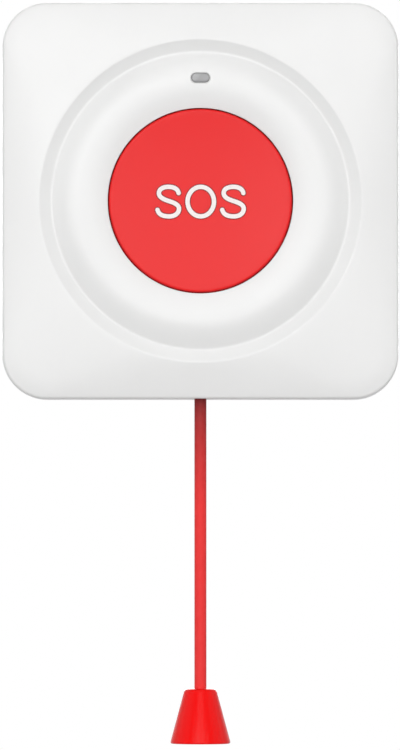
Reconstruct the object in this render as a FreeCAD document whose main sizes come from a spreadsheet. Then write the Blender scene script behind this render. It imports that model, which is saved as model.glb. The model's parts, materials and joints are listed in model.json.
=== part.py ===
"""Wireless panic button with a pull cord, for a square wall box.

The part hangs on a wall. X runs to the right, Z up, and depth grows out of the wall towards -Y,
so a depth of 5 lies at Y = -5. The origin is the middle of the back plate's rear face.
All lengths are in millimetres and all angles in degrees.
"""
import FreeCAD, Part
import math
import os
import re
import Sketcher

Vector = FreeCAD.Vector

SIZES = {
    # Front cover: a square moulding with drafted sides and a low pillow-shaped crown
    "cover_width": 86.0,
    "cover_corner": 9.8,
    "cover_wall": 2.0,
    "cover_reveal": 0.4,
    "side_depth": 19.4,
    "crown_rise": 2.0,
    "draft_angle": 1.0,
    "edge_round": 0.9,
    # Ring round the button: a bevel, a valley and a rounded crest, turned about the button's axis
    "ring_radius": 34.8,
    "valley_radius": 32.1,
    "valley_drop": 1.5,
    "valley_wall": 2.0,
    "crest_radius": 26.0,
    "crest_rise": 0.6,
    "crest_wall": 2.5,
    "hollow_inset": 1.1,
    "hollow_shoulder": 0.6,
    "well_radius": 20.1,
    "well_drop": 1.0,
    "well_depth": 4.0,
    "collar_wall": 1.5,
    "collar_play": 1.4,
    # Screw bosses and snap catches inside the front cover
    "boss_inset": 9.5,
    "boss_radius": 3.2,
    "boss_root": 1.2,
    "screw_reach": 6.6,
    "catch_place": 22.0,
    "catch_wide": 9.0,
    "catch_thick": 1.5,
    "catch_reach": 0.8,
    "catch_depth": 5.0,
    # Back plate with two slotted wall holes and four snap hooks
    "plate_gap": 0.2,
    "plate_floor": 2.0,
    "wall_hole_spacing": 60.3,
    "wall_hole_radius": 2.25,
    "wall_slot_length": 8.0,
    "wall_pad_rise": 0.8,
    "wall_pad_rim": 2.6,
    "rim_inset": 5.0,
    "rim_wall": 1.4,
    "rim_rise": 2.2,
    "tape_wide": 46.0,
    "tape_tall": 12.0,
    "tape_place": 22.0,
    "tape_thick": 0.6,
    "tape_gap": 0.3,
    "hook_wide": 8.0,
    "hook_thick": 1.4,
    "hook_gap": 0.25,
    "hook_bite": 0.55,
    "hook_play": 0.1,
    "hook_nub": 1.5,
    # Main board, its screws and what it carries
    "board_gap": 3.4,
    "board_thick": 1.6,
    "board_corner": 6.0,
    "board_hole_radius": 1.4,
    "screw_radius": 1.05,
    "screw_play": 0.02,
    "screw_head_radius": 2.4,
    "screw_head": 1.8,
    "screw_slot": 0.7,
    # Coin cell in its round holder, behind the board
    "cell_x": 0.0,
    "cell_z": 7.0,
    "cell_radius": 12.25,
    "cell_thick": 5.0,
    "cell_step": 0.6,
    "cell_fit": 0.3,
    "holder_wall": 1.3,
    "holder_floor": 1.0,
    "holder_height": 4.4,
    "holder_notch": 9.0,
    "clip_gap": 0.6,
    "clip_thick": 0.4,
    "clip_wide": 6.0,
    "clip_play": 0.2,
    "clip_foot": 2.6,
    "contact_radius": 6.0,
    "contact_thick": 0.3,
    # Button cap, dished, with a flange under the well's ledge and a post on the switch
    "button_gap": 0.35,
    "button_proud": 0.2,
    "button_dish": 0.7,
    "button_edge": 0.5,
    "button_wall": 1.8,
    "button_roof": 2.2,
    "button_travel": 1.0,
    "flange_reach": 1.4,
    "flange_thick": 1.4,
    "flange_gap": 0.3,
    "key_reach": 1.2,
    "key_wide": 2.6,
    "post_radius": 2.6,
    "post_gap": 0.05,
    "rib_thick": 1.2,
    "rib_drop": 1.6,
    "spring_ring": 13.5,
    "spring_radius": 1.8,
    "spring_wire": 0.4,
    "spring_turns": 5.0,
    "spring_count": 3.0,
    "spring_angle": 30.0,
    "peg_radius": 1.1,
    "peg_length": 2.2,
    # Push switch under the button
    "switch_wide": 8.5,
    "switch_height": 4.0,
    "stem_radius": 1.6,
    "stem_rise": 1.6,
    "stem_tail": 1.8,
    "stem_fit": 0.08,
    "stem_floor": 0.4,
    # Light window on the crest and the lamp behind it
    "window_wide": 3.9,
    "window_tall": 2.0,
    "window_place": 26.5,
    "window_fit": 0.1,
    "window_sink": 0.05,
    "window_seat": 3.4,
    "window_flange": 1.2,
    "window_flange_thick": 1.0,
    "window_rim": 0.6,
    "lamp_wide": 3.4,
    "lamp_tall": 2.8,
    "lamp_height": 1.5,
    "lamp_gap": 0.5,
    "lamp_dome": 1.1,
    # Pull cord, its crimp in the slider, its cone and its knot
    "cord_radius": 1.3,
    "cord_hole_gap": 0.4,
    "cord_visible": 62.4,
    "crimp_radius": 2.2,
    "crimp_length": 4.6,
    "cone_top_radius": 3.4,
    "cone_base_radius": 6.6,
    "cone_height": 11.9,
    "cone_wall": 1.5,
    "cone_roof": 1.8,
    "cone_hole_gap": 0.2,
    "cone_round": 0.8,
    "cone_rim_round": 0.4,
    "knot_radius": 2.9,
    "knot_height": 4.6,
    "knot_round": 1.2,
    "cord_tail": 1.0,
    # Slider that the cord pulls down against its spring, between two rails of the cover
    "slider_gap": 0.3,
    "slider_half": 5.3,
    "slider_thick": 6.4,
    "slider_height": 7.6,
    "slider_drop": 1.1,
    "slider_pocket_fit": 0.2,
    "slider_floor": 2.4,
    "rail_gap": 0.2,
    "rail_wall": 1.5,
    "rail_top": 0.2,
    "seat_radius": 4.0,
    "seat_rise": 1.2,
    "pull_travel": 4.0,
    "pull_spring_radius": 2.3,
    "pull_spring_wire": 0.5,
    "pull_spring_turns": 5.0,
    # Wedge on the slider and the snap switch that it presses
    "wedge_reach": 2.3,
    "wedge_slope": 0.25,
    "wedge_thick": 2.8,
    "wedge_lead": 1.0,
    "wedge_gap": 0.05,
    "wedge_top_gap": 0.2,
    "window_play": 0.4,
    "snap_gap": 0.45,
    "snap_wide": 6.5,
    "snap_long": 12.8,
    "snap_thick": 5.8,
    "snap_above": 7.0,
    "plunger_thick": 2.6,
    "plunger_tall": 1.2,
    "plunger_fit": 0.08,
    "plunger_tail": 1.5,
    "plunger_room": 0.5,
    "snap_foot": 1.2,
    "snap_foot_thick": 0.4,
    # Radio, chips and other parts on the board's front
    "radio_side": 13.6,
    "radio_top": 21.6,
    "radio_wide": 14.0,
    "radio_tall": 18.0,
    "radio_thick": 0.8,
    "shield_margin": 2.0,
    "shield_height": 1.4,
    "shield_round": 0.6,
    "antenna_radius": 0.4,
    "antenna_stand": 1.2,
    "antenna_post": 0.7,
    "antenna_side": 15.6,
    "antenna_edge": 4.6,
    "antenna_drop": 5.5,
    "antenna_far_side": 13.6,
    "antenna_bend": 3.0,
    "chip_side": 15.6,
    "chip_top": 19.6,
    "chip_wide": 6.0,
    "chip_tall": 9.9,
    "chip_thick": 1.6,
    "chip_pitch": 1.27,
    "lead_wide": 0.45,
    "lead_reach": 1.2,
    "lead_thick": 0.5,
    "crystal_side": 8.1,
    "crystal_z": 0.0,
    "crystal_wide": 4.6,
    "crystal_long": 11.2,
    "crystal_height": 3.2,
    "capacitor_side": 11.6,
    "capacitor_foot": 25.6,
    "capacitor_radius": 3.15,
    "capacitor_height": 5.6,
    "small_side": 7.1,
    "small_foot": 16.6,
    "small_long": 2.0,
    "small_wide": 1.25,
    "small_thick": 0.6,
    "small_pitch": 3.4,
}

CHIP_LEADS = 7
SMALL_ROWS = 2
SMALL_COLUMNS = 4
QUARTERS = ((1, 1), (-1, 1), (-1, -1), (1, -1))

# Depths and places that several pieces share, worked out from the sizes
CROWN = "(side_depth + crown_rise)"
CREST = f"({CROWN} + crest_rise)"
VALLEY = f"({CROWN} - valley_drop)"
LIP = f"({CREST} - well_drop)"
LEDGE = f"({LIP} - well_depth)"
SIDE_RUN = "(side_depth - cover_reveal)"
HALF = "(cover_width / 2)"
INNER_HALF = f"({HALF} - cover_wall)"
INNER_CORNER = "(cover_corner - cover_wall)"
INNER_RUN = f"({SIDE_RUN} - cover_wall)"
BOARD_BACK = "(plate_floor + clip_gap + clip_thick + cell_thick + holder_floor)"
BOARD_FRONT = f"({BOARD_BACK} + board_thick)"
BOARD_HALF = f"({INNER_HALF} - board_gap)"
BOSS_PLACE = f"({HALF} - boss_inset)"
CELL_FRONT = f"({BOARD_BACK} - holder_floor)"
CELL_REAR = f"({CELL_FRONT} - cell_thick)"
FLANGE_RADIUS = "(well_radius + flange_reach)"
COLLAR_RADIUS = f"({FLANGE_RADIUS} + flange_gap)"
COLLAR_OUTER = f"({COLLAR_RADIUS} + collar_wall)"
COLLAR_DEPTH = "(flange_thick + button_travel + collar_play)"
COLLAR_END = f"({LEDGE} - {COLLAR_DEPTH})"
CAP_RADIUS = "(well_radius - button_gap)"
CAP_RIM = f"({LIP} + button_proud)"
CAP_ROOF = f"({CAP_RIM} - button_dish - button_roof)"
FLANGE_REAR = f"({LEDGE} - flange_thick)"
STEM_TOP = f"({BOARD_FRONT} + switch_height + stem_rise)"
SLIDER_REAR = f"({BOARD_FRONT} + slider_gap)"
CORD_DEPTH = f"({SLIDER_REAR} + slider_thick / 2)"
SLIDER_TOP = f"(-({COLLAR_OUTER} + slider_drop))"
SLIDER_FOOT = f"({SLIDER_TOP} - slider_height)"
SEAT_TOP = f"(-({INNER_HALF} - seat_rise))"
RAIL_INNER = "(slider_half + rail_gap)"
RAIL_OUTER = f"({RAIL_INNER} + rail_wall)"
RAIL_FRONT = "(side_depth + rail_top)"
WEDGE_TOP = f"({SLIDER_TOP} - wedge_top_gap)"
PLUNGER_Z = f"({WEDGE_TOP} - pull_travel - plunger_tall / 2)"
WEDGE_FOOT = f"({PLUNGER_Z} - plunger_tall / 2 - wedge_lead)"
WEDGE_FACE = "(slider_half + wedge_reach)"
WEDGE_TIP = f"({WEDGE_FACE} + wedge_slope * ({WEDGE_TOP} - {PLUNGER_Z}))"
SNAP_FACE = f"({WEDGE_TIP} + snap_gap)"
PLUNGER_TIP = f"({WEDGE_FACE} + wedge_slope * plunger_tall / 2 + wedge_gap)"
PLUNGER_TRAVEL = "(pull_travel * wedge_slope)"
CRIMP_FOOT = f"({SLIDER_FOOT} + slider_floor)"
CORD_TOP = f"({CRIMP_FOOT} + crimp_length)"
CONE_TOP = f"(-({HALF} + cord_visible))"
CONE_FOOT = f"({CONE_TOP} - cone_height)"
KNOT_TOP = f"({CONE_TOP} - cone_roof)"
KNOT_FOOT = f"({KNOT_TOP} - knot_height)"
CORD_FOOT = f"({KNOT_FOOT} - cord_tail)"
WINDOW_SEAT = f"({CREST} - window_seat)"
LAMP_TOP = f"({BOARD_FRONT} + lamp_height)"
BOARD_LEFT = f"(-{BOARD_HALF})"
RADIO_X = f"({BOARD_LEFT} + radio_side)"
RADIO_Z = f"({BOARD_HALF} - radio_top)"
ANTENNA_X = f"({BOARD_LEFT} + antenna_side)"
ANTENNA_TOP = f"({BOARD_HALF} - antenna_edge)"
ANTENNA_START = f"({ANTENNA_TOP} - antenna_drop)"
HOOK_FACE = f"({INNER_HALF} - catch_reach - hook_gap)"
HOOK_LATCH = "(catch_depth + catch_thick + hook_play)"

document = FreeCAD.newDocument("PanicButton")
sheet = document.addObject("Spreadsheet::Sheet", "Sizes")
for row, (alias, amount) in enumerate(SIZES.items(), start=1):
    sheet.set(f"A{row}", alias)
    sheet.set(f"B{row}", str(amount))
    sheet.setAlias(f"B{row}", alias)
document.recompute()


def formula(text):
    """Put the sheet's name in front of every size that the text names."""
    def full_name(word):
        return f"Sizes.{word[0]}" if word[0] in SIZES else word[0]
    return re.sub(r"[a-z][a-z_]*", full_name, str(text))


def number(text):
    """Work out a formula's present value."""
    return float(sheet.evalExpression(formula(text)))


def bind(item, name, text):
    """Tie one property of an object to a formula of the sheet's sizes."""
    item.setExpression(name, formula(text))


def new_body(name, group=False):
    """Start a piece. A group holds several equal solids, such as four screws."""
    body = document.addObject("PartDesign::Body", name)
    body.Label = name
    body.AllowCompound = group
    return body


def origin_part(body, role):
    """Find one plane or axis of the body's own origin."""
    return next(part for part in body.Origin.OriginFeatures if part.Role == role)


def new_sketch(body, role, x="0", y="0", height="0"):
    """Lay an empty sketch on one of the body's origin planes, moved within it and off it."""
    sketch = body.newObject("Sketcher::SketchObject", f"{body.Name}_sketch")
    sketch.AttachmentSupport = (origin_part(body, role), [""])
    sketch.MapMode = "FlatFace"
    bind(sketch, "AttachmentOffset.Base.x", x)
    bind(sketch, "AttachmentOffset.Base.y", y)
    bind(sketch, "AttachmentOffset.Base.z", height)
    return sketch


def front_sketch(body, depth, x="0", z="0"):
    """A sketch seen from the front, standing a depth off the wall. Features grow out of the wall."""
    return new_sketch(body, "XZ_Plane", x, z, depth)


def level_sketch(body, z, x="0"):
    """A sketch seen from above, at a height. Its second direction is Y, which is minus the depth."""
    return new_sketch(body, "XY_Plane", x, "0", z)


def fix(sketch, kind, *places):
    """Add a dimension whose last value is a formula."""
    *where, text = places
    index = sketch.addConstraint(Sketcher.Constraint(kind, *where, number(text)))
    bind(sketch, f"Constraints[{index}]", text)


def fix_point(sketch, edge, end, x, y):
    """Dimension a point from the sketch's origin both ways."""
    fix(sketch, "DistanceX", -1, 1, edge, end, x)
    fix(sketch, "DistanceY", -1, 1, edge, end, y)


def arc_between(start, stop, centre_x, centre_y=None):
    """Make the arc under half a turn between two points. A centre's y that isn't given is worked out."""
    ax, ay = start
    bx, by = stop
    if centre_y is None:
        centre_y = (ax**2 - bx**2 - 2 * centre_x * (ax - bx) + ay**2 - by**2) / (2 * (ay - by))
    centre = Vector(centre_x, centre_y, 0)
    first = Vector(ax, ay, 0) - centre
    second = Vector(bx, by, 0) - centre
    turns_left = first.cross(second).z > 0
    if not turns_left:
        first, second = second, first
    ring = Part.Circle(centre, Vector(0, 0, 1), first.Length)
    angles = [math.atan2(spoke.y, spoke.x) for spoke in (first, second)]
    return Part.ArcOfCircle(ring, *angles), turns_left


def outline(sketch, corners, centres=None):
    """Draw a closed outline through corners that are pairs of formulas.

    centres names the sides that are arcs, by the number of the corner that they leave,
    and gives the formulas of each arc's centre, of which the second may be left out.
    """
    centres = centres or {}
    points = [(number(x), number(y)) for x, y in corners]
    base = sketch.GeometryCount
    ends = []
    for side, start in enumerate(points):
        stop = points[(side + 1) % len(points)]
        if side in centres:
            middle = [number(text) for text in centres[side] if text is not None]
            arc, turns_left = arc_between(start, stop, *middle)
            sketch.addGeometry(arc)
            ends.append((1, 2) if turns_left else (2, 1))
        else:
            sketch.addGeometry(Part.LineSegment(Vector(*start, 0), Vector(*stop, 0)))
            ends.append((1, 2))
    for side, (x, y) in enumerate(corners):
        after = (side + 1) % len(corners)
        sketch.addConstraint(
            Sketcher.Constraint("Coincident", base + side, ends[side][1], base + after, ends[after][0]))
        fix_point(sketch, base + side, ends[side][0], x, y)
    for side, middle in centres.items():
        level = abs(points[side][1] - points[(side + 1) % len(points)][1]) < 1e-9
        kind, text = ("DistanceY", middle[1]) if level else ("DistanceX", middle[0])
        fix(sketch, kind, -1, 1, base + side, 3, text)


def side_outline(sketch, corners, centres=None):
    """Draw an outline whose second values are depths, in a sketch where Y points at the wall."""
    outline(sketch, [(x, f"-({depth})") for x, depth in corners], centres)


def rectangle(sketch, x_low, x_high, y_low, y_high):
    """Draw a rectangle between four formulas."""
    outline(sketch, [(x_low, y_low), (x_high, y_low), (x_high, y_high), (x_low, y_high)])


def centred_rectangle(sketch, wide, tall):
    """Draw a rectangle about the sketch's origin."""
    rectangle(sketch, f"-({wide}) / 2", f"({wide}) / 2", f"-({tall}) / 2", f"({tall}) / 2")


def rounded_square(sketch, half, corner):
    """Draw a square with arcs at its corners about the sketch's origin."""
    flat = f"({half} - {corner})"
    corners = [(half, flat), (flat, half), (f"-{flat}", half), (f"-{half}", flat)]
    corners += [(f"-{half}", f"-{flat}"), (f"-{flat}", f"-{half}"), (flat, f"-{half}"), (half, f"-{flat}")]
    centres = {0: (flat, flat), 2: (f"-{flat}", flat), 4: (f"-{flat}", f"-{flat}"), 6: (flat, f"-{flat}")}
    outline(sketch, corners, centres)


def split_circle(sketch, radius):
    """Draw a circle as eight equal arcs, one for each side and corner of a rounded square."""
    far = f"({radius} * cos(22.5))"
    near = f"({radius} * sin(22.5))"
    corners = [(far, near), (near, far), (f"-{near}", far), (f"-{far}", near)]
    corners += [(f"-{far}", f"-{near}"), (f"-{near}", f"-{far}"), (near, f"-{far}"), (far, f"-{near}")]
    outline(sketch, corners, {side: ("0", "0") for side in range(len(corners))})


def circle(sketch, x, y, radius):
    """Draw a circle."""
    place = Vector(number(x), number(y), 0)
    edge = sketch.addGeometry(Part.Circle(place, Vector(0, 0, 1), number(radius)))
    fix_point(sketch, edge, 3, x, y)
    fix(sketch, "Radius", edge, radius)


def slot(sketch, wide, tall, x="0", y="0"):
    """Draw a level slot with round ends, given its full width and height."""
    reach = f"(({wide} - {tall}) / 2)"
    high = f"({y} + {tall} / 2)"
    low = f"({y} - {tall} / 2)"
    left = f"({x} - {reach})"
    right = f"({x} + {reach})"
    right_end = Part.Circle(Vector(number(right), number(y), 0), Vector(0, 0, 1), number(tall) / 2)
    quarter_turn = math.pi / 2
    base = sketch.GeometryCount
    sketch.addGeometry(Part.LineSegment(
        Vector(number(left), number(low), 0), Vector(number(right), number(low), 0)))
    sketch.addGeometry(Part.ArcOfCircle(right_end, -quarter_turn, quarter_turn))
    sketch.addGeometry(Part.LineSegment(
        Vector(number(right), number(high), 0), Vector(number(left), number(high), 0)))
    left_end = Part.Circle(Vector(number(left), number(y), 0), Vector(0, 0, 1), number(tall) / 2)
    sketch.addGeometry(Part.ArcOfCircle(left_end, quarter_turn, 3 * quarter_turn))
    for side in range(4):
        sketch.addConstraint(
            Sketcher.Constraint("Coincident", base + side, 2, base + (side + 1) % 4, 1))
    fix_point(sketch, base, 1, left, low)
    fix_point(sketch, base + 1, 1, right, low)
    fix_point(sketch, base + 2, 1, right, high)
    fix_point(sketch, base + 3, 1, left, high)
    fix(sketch, "DistanceX", -1, 1, base + 1, 3, right)
    fix(sketch, "DistanceX", -1, 1, base + 3, 3, left)


def grow(sketch, kind, length, draft=None, both_ways=False):
    """Push a sketch out along its normal, to add or to cut. A draft angle narrows it on the way."""
    body = sketch.getParentGeoFeatureGroup()
    feature = body.newObject(kind, f"{sketch.Name}_feature")
    feature.Profile = sketch
    feature.Reversed = kind == "PartDesign::Pocket"
    if both_ways:
        feature.SideType = "Symmetric"
    bind(feature, "Length", length)
    if draft:
        bind(feature, "TaperAngle", f"-{draft}")
    return feature


def pad(sketch, length, draft=None, both_ways=False):
    """Add the sketch's prism."""
    return grow(sketch, "PartDesign::Pad", length, draft, both_ways)


def pocket(sketch, length, draft=None, both_ways=False):
    """Cut the sketch's prism away, and make sure that it took something."""
    document.recompute()
    before = sketch.getParentGeoFeatureGroup().Tip.Shape.Volume
    feature = grow(sketch, "PartDesign::Pocket", length, draft, both_ways)
    document.recompute()
    if not feature.Shape.Volume < before:
        raise RuntimeError(f"{feature.Name} cuts nothing")
    return feature


def revolve(sketch, kind="PartDesign::Revolution"):
    """Turn the sketch a full turn about its own vertical axis."""
    body = sketch.getParentGeoFeatureGroup()
    feature = body.newObject(kind, f"{sketch.Name}_turned")
    feature.Profile = sketch
    feature.ReferenceAxis = (sketch, ["V_Axis"])
    feature.Angle = 360
    return feature


def loft(lower, upper, kind="PartDesign::AdditiveLoft"):
    """Join two sketches with straight lines from one to the other."""
    body = lower.getParentGeoFeatureGroup()
    feature = body.newObject(kind, f"{lower.Name}_loft")
    feature.Profile = lower
    feature.Sections = [upper]
    feature.Ruled = True
    return feature


def soften(body, chosen, radius, kind="PartDesign::Fillet"):
    """Round or bevel the edges of the latest feature that the test picks."""
    document.recompute()
    base = body.Tip
    names = [f"Edge{index}" for index, edge in enumerate(base.Shape.Edges, start=1) if chosen(edge)]
    feature = body.newObject(kind, f"{base.Name}_softened")
    feature.Base = (base, names)
    bind(feature, "Radius" if kind == "PartDesign::Fillet" else "Size", radius)
    return feature


def lies_at_depth(text):
    """Make a test for edges that lie wholly at one depth."""
    level = -number(text)
    return lambda edge: abs(edge.BoundBox.YMin - level) < 0.01 and abs(edge.BoundBox.YMax - level) < 0.01


def lies_at_height(text, radius):
    """Make a test for the round edge of one radius at one height."""
    level = number(text)
    reach = number(radius)

    def test(edge):
        circular = isinstance(edge.Curve, Part.Circle) and abs(edge.Curve.Radius - reach) < 0.01
        return circular and abs(edge.CenterOfMass.z - level) < 0.01
    return test


def coil(sketch, turn_pitch, height, outwards=True):
    """Wind the sketch's wire about the sketch's own vertical axis."""
    body = sketch.getParentGeoFeatureGroup()
    feature = body.newObject("PartDesign::AdditiveHelix", f"{sketch.Name}_coil")
    feature.Profile = sketch
    feature.ReferenceAxis = (sketch, ["V_Axis"])
    feature.Mode = 0
    feature.Reversed = outwards
    bind(feature, "Pitch", turn_pitch)
    bind(feature, "Height", height)
    return feature


def spread(feature, count):
    """Repeat a feature evenly round the button's axis."""
    body = feature.getParentGeoFeatureGroup()
    pattern = body.newObject("PartDesign::PolarPattern", f"{feature.Name}_pattern")
    pattern.Originals = [feature]
    pattern.Axis = (origin_part(body, "Y_Axis"), [""])
    pattern.Angle = 360
    bind(pattern, "Occurrences", count)
    body.Tip = pattern
    return pattern


def make_front_cover():
    """The moulded front: drafted sides, crown, ring, well with its collar, and everything inside."""
    cover = new_body("front_cover")
    narrowing = f"(tan(draft_angle) * {SIDE_RUN})"
    crown_half = f"({HALF} - {narrowing})"
    crown_corner = f"(cover_corner - {narrowing})"
    rear = front_sketch(cover, "cover_reveal")
    rounded_square(rear, HALF, "cover_corner")
    pad(rear, SIDE_RUN, "draft_angle")
    shoulder = front_sketch(cover, "side_depth")
    rounded_square(shoulder, crown_half, crown_corner)
    crown = front_sketch(cover, CROWN)
    split_circle(crown, "ring_radius")
    loft(shoulder, crown)
    soften(cover, lies_at_depth("side_depth"), "edge_round")
    hollow_cover(cover)
    turn_ring(cover)
    add_bosses(cover)
    add_rails(cover)
    add_window(cover)
    add_catches(cover)
    return cover


def hollow_cover(cover):
    """Open the cover from behind, one wall inside its sides and its crown."""
    narrowing = f"(tan(draft_angle) * {INNER_RUN})"
    mouth = front_sketch(cover, "cover_reveal")
    rounded_square(mouth, INNER_HALF, INNER_CORNER)
    pocket(mouth, INNER_RUN, "draft_angle")
    roof = front_sketch(cover, "side_depth - cover_wall")
    rounded_square(roof, f"({INNER_HALF} - {narrowing})", f"({INNER_CORNER} - {narrowing})")
    crown = front_sketch(cover, f"{CROWN} - cover_wall")
    split_circle(crown, "ring_radius")
    loft(roof, crown, "PartDesign::SubtractiveLoft")
    hole = front_sketch(cover, "side_depth - cover_wall")
    circle(hole, "0", "0", "ring_radius")
    pocket(hole, "2 * cover_wall + crown_rise")


def turn_ring(cover):
    """Turn the ring's wall: bevel, valley, crest, well with its ledge, and the collar behind the ledge."""
    ring = level_sketch(cover, "0")
    profile = [
        ("ring_radius", CROWN),
        ("valley_radius", VALLEY),
        ("crest_radius", CREST),
        ("well_radius", LIP),
        ("well_radius", LEDGE),
        (COLLAR_RADIUS, LEDGE),
        (COLLAR_RADIUS, COLLAR_END),
        (COLLAR_OUTER, COLLAR_END),
        (COLLAR_OUTER, f"{CREST} - crest_wall - hollow_shoulder"),
        ("crest_radius", f"{CREST} - crest_wall"),
        ("valley_radius - hollow_inset", f"{VALLEY} - valley_wall"),
        ("valley_radius + hollow_inset", f"{VALLEY} - valley_wall"),
        ("ring_radius", f"{CROWN} - cover_wall"),
    ]
    arcs = {side: ("crest_radius", None) for side in (1, 2, 8, 9)}
    side_outline(ring, profile, arcs)
    revolve(ring)
    keyways = front_sketch(cover, COLLAR_END)
    near = "(well_radius + button_gap)"
    far = f"({COLLAR_OUTER} + key_reach)"
    half = "(key_wide / 2 + flange_gap)"
    for low, high in ((near, far), (f"-{far}", f"-{near}")):
        rectangle(keyways, low, high, f"-{half}", half)
    pocket(keyways, COLLAR_DEPTH)


def add_bosses(cover):
    """Stand four screw bosses between the front wall and the board."""
    bosses = front_sketch(cover, BOARD_FRONT)
    holes = front_sketch(cover, BOARD_FRONT)
    for right, up in QUARTERS:
        circle(bosses, f"{right} * {BOSS_PLACE}", f"{up} * {BOSS_PLACE}", "boss_radius")
        circle(holes, f"{right} * {BOSS_PLACE}", f"{up} * {BOSS_PLACE}", "screw_radius + screw_play")
    pad(bosses, f"side_depth - boss_root - {BOARD_FRONT}")
    pocket(holes, "screw_reach")


def add_rails(cover):
    """Guide the slider between two rails and seat its spring round the cord's hole."""
    rails = front_sketch(cover, SLIDER_REAR)
    foot = f"(-({INNER_HALF} + cover_wall / 2))"
    for low, high in ((f"-{RAIL_OUTER}", f"-{RAIL_INNER}"), (RAIL_INNER, RAIL_OUTER)):
        rectangle(rails, low, high, foot, f"-({COLLAR_OUTER} - collar_wall / 2)")
    pad(rails, f"{RAIL_FRONT} - {SLIDER_REAR}")
    opening = front_sketch(cover, f"{CORD_DEPTH} - wedge_thick / 2 - window_play")
    rectangle(opening, f"{RAIL_INNER} - rail_gap", f"{RAIL_OUTER} + rail_gap",
              f"{WEDGE_FOOT} - pull_travel - window_play", f"{SLIDER_TOP} + window_play")
    pocket(opening, "wedge_thick + 2 * window_play")
    seat = level_sketch(cover, f"(-({INNER_HALF} + cover_wall / 2))")
    circle(seat, "0", f"-{CORD_DEPTH}", "seat_radius")
    pad(seat, "seat_rise + cover_wall / 2")
    hole = level_sketch(cover, f"-({HALF} + cover_wall)")
    circle(hole, "0", f"-{CORD_DEPTH}", "cord_radius + cord_hole_gap")
    pocket(hole, "2 * cover_wall + seat_rise + cover_wall")


def add_window(cover):
    """Cut the light window through the crest and thicken the wall behind it."""
    seat = front_sketch(cover, WINDOW_SEAT)
    rim = "2 * (window_flange + window_rim)"
    slot(seat, f"(window_wide + {rim})", f"(window_tall + {rim})", "0", "window_place")
    pad(seat, "window_seat - crest_wall + window_rim")
    hole = front_sketch(cover, f"{WINDOW_SEAT} - window_rim")
    slot(hole, "(window_wide + 2 * window_fit)", "(window_tall + 2 * window_fit)", "0", "window_place")
    pocket(hole, "window_seat + 2 * window_rim")


def add_catches(cover):
    """Raise four ledges inside the top and bottom walls for the back plate's hooks."""
    catches = front_sketch(cover, "catch_depth")
    near = f"({INNER_HALF} - catch_reach)"
    far = f"({INNER_HALF} + cover_wall / 2)"
    for right, up in QUARTERS:
        low = f"({right} * catch_place - catch_wide / 2)"
        high = f"({right} * catch_place + catch_wide / 2)"
        heights = (near, far) if up > 0 else (f"-{far}", f"-{near}")
        rectangle(catches, low, high, *heights)
    pad(catches, "catch_thick")


def make_back_plate():
    """The plate screwed to the wall: slotted pads, a stiffening rim and four snap hooks."""
    plate = new_body("back_plate")
    rear = front_sketch(plate, "0")
    rounded_square(rear, f"({INNER_HALF} - plate_gap)", f"({INNER_CORNER} - plate_gap)")
    pad(rear, "plate_floor")
    rim = front_sketch(plate, "plate_floor")
    rounded_square(rim, f"({INNER_HALF} - rim_inset)", "board_corner")
    rounded_square(rim, f"({INNER_HALF} - rim_inset - rim_wall)", "(board_corner - rim_wall)")
    pad(rim, "rim_rise")
    pads = front_sketch(plate, "plate_floor")
    slots = front_sketch(plate, "0")
    for side in (1, -1):
        middle = f"({side} * wall_hole_spacing / 2)"
        wide = "(wall_slot_length + 2 * wall_pad_rim)"
        slot(pads, wide, "(2 * wall_hole_radius + 2 * wall_pad_rim)", middle)
        slot(slots, "wall_slot_length", "(2 * wall_hole_radius)", middle)
    pad(pads, "wall_pad_rise")
    pocket(slots, "plate_floor + 2 * wall_pad_rise")
    recesses = front_sketch(plate, "0")
    tape_outlines(recesses, "tape_gap")
    pocket(recesses, "tape_thick")
    add_hooks(plate)
    return plate


def tape_outlines(sketch, around):
    """Draw the two strips of tape above and below the screw slots, with a gap around each."""
    wide = f"(tape_wide / 2 + {around})"
    near = f"(tape_place - tape_tall / 2 - {around})"
    far = f"(tape_place + tape_tall / 2 + {around})"
    for low, high in ((near, far), (f"-{far}", f"-{near}")):
        rectangle(sketch, f"-{wide}", wide, low, high)


def make_mounting_tape():
    """Two strips of foam tape that lie flush in the back plate's recesses."""
    tape = new_body("mounting_tape", group=True)
    strips = front_sketch(tape, "0")
    tape_outlines(strips, "0")
    pad(strips, "tape_thick")
    return tape


def add_hooks(plate):
    """Stand four hooks on the plate whose nubs latch over the cover's ledges."""
    top = f"({HOOK_LATCH} + hook_nub)"
    for right in (1, -1):
        for up in (1, -1):
            arm = new_sketch(plate, "YZ_Plane", "0", "0", f"{right} * catch_place")
            bite = f"({INNER_HALF} - catch_reach + hook_bite)"
            corners = [
                ("-plate_floor", f"{up} * ({HOOK_FACE} - hook_thick)"),
                (f"-{top}", f"{up} * ({HOOK_FACE} - hook_thick)"),
                (f"-{top}", f"{up} * {HOOK_FACE}"),
                (f"-({HOOK_LATCH} + hook_play)", f"{up} * {bite}"),
                (f"-{HOOK_LATCH}", f"{up} * {bite}"),
                (f"-{HOOK_LATCH}", f"{up} * {HOOK_FACE}"),
                ("-plate_floor", f"{up} * {HOOK_FACE}"),
            ]
            outline(arm, corners)
            pad(arm, "hook_wide", both_ways=True)


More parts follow.
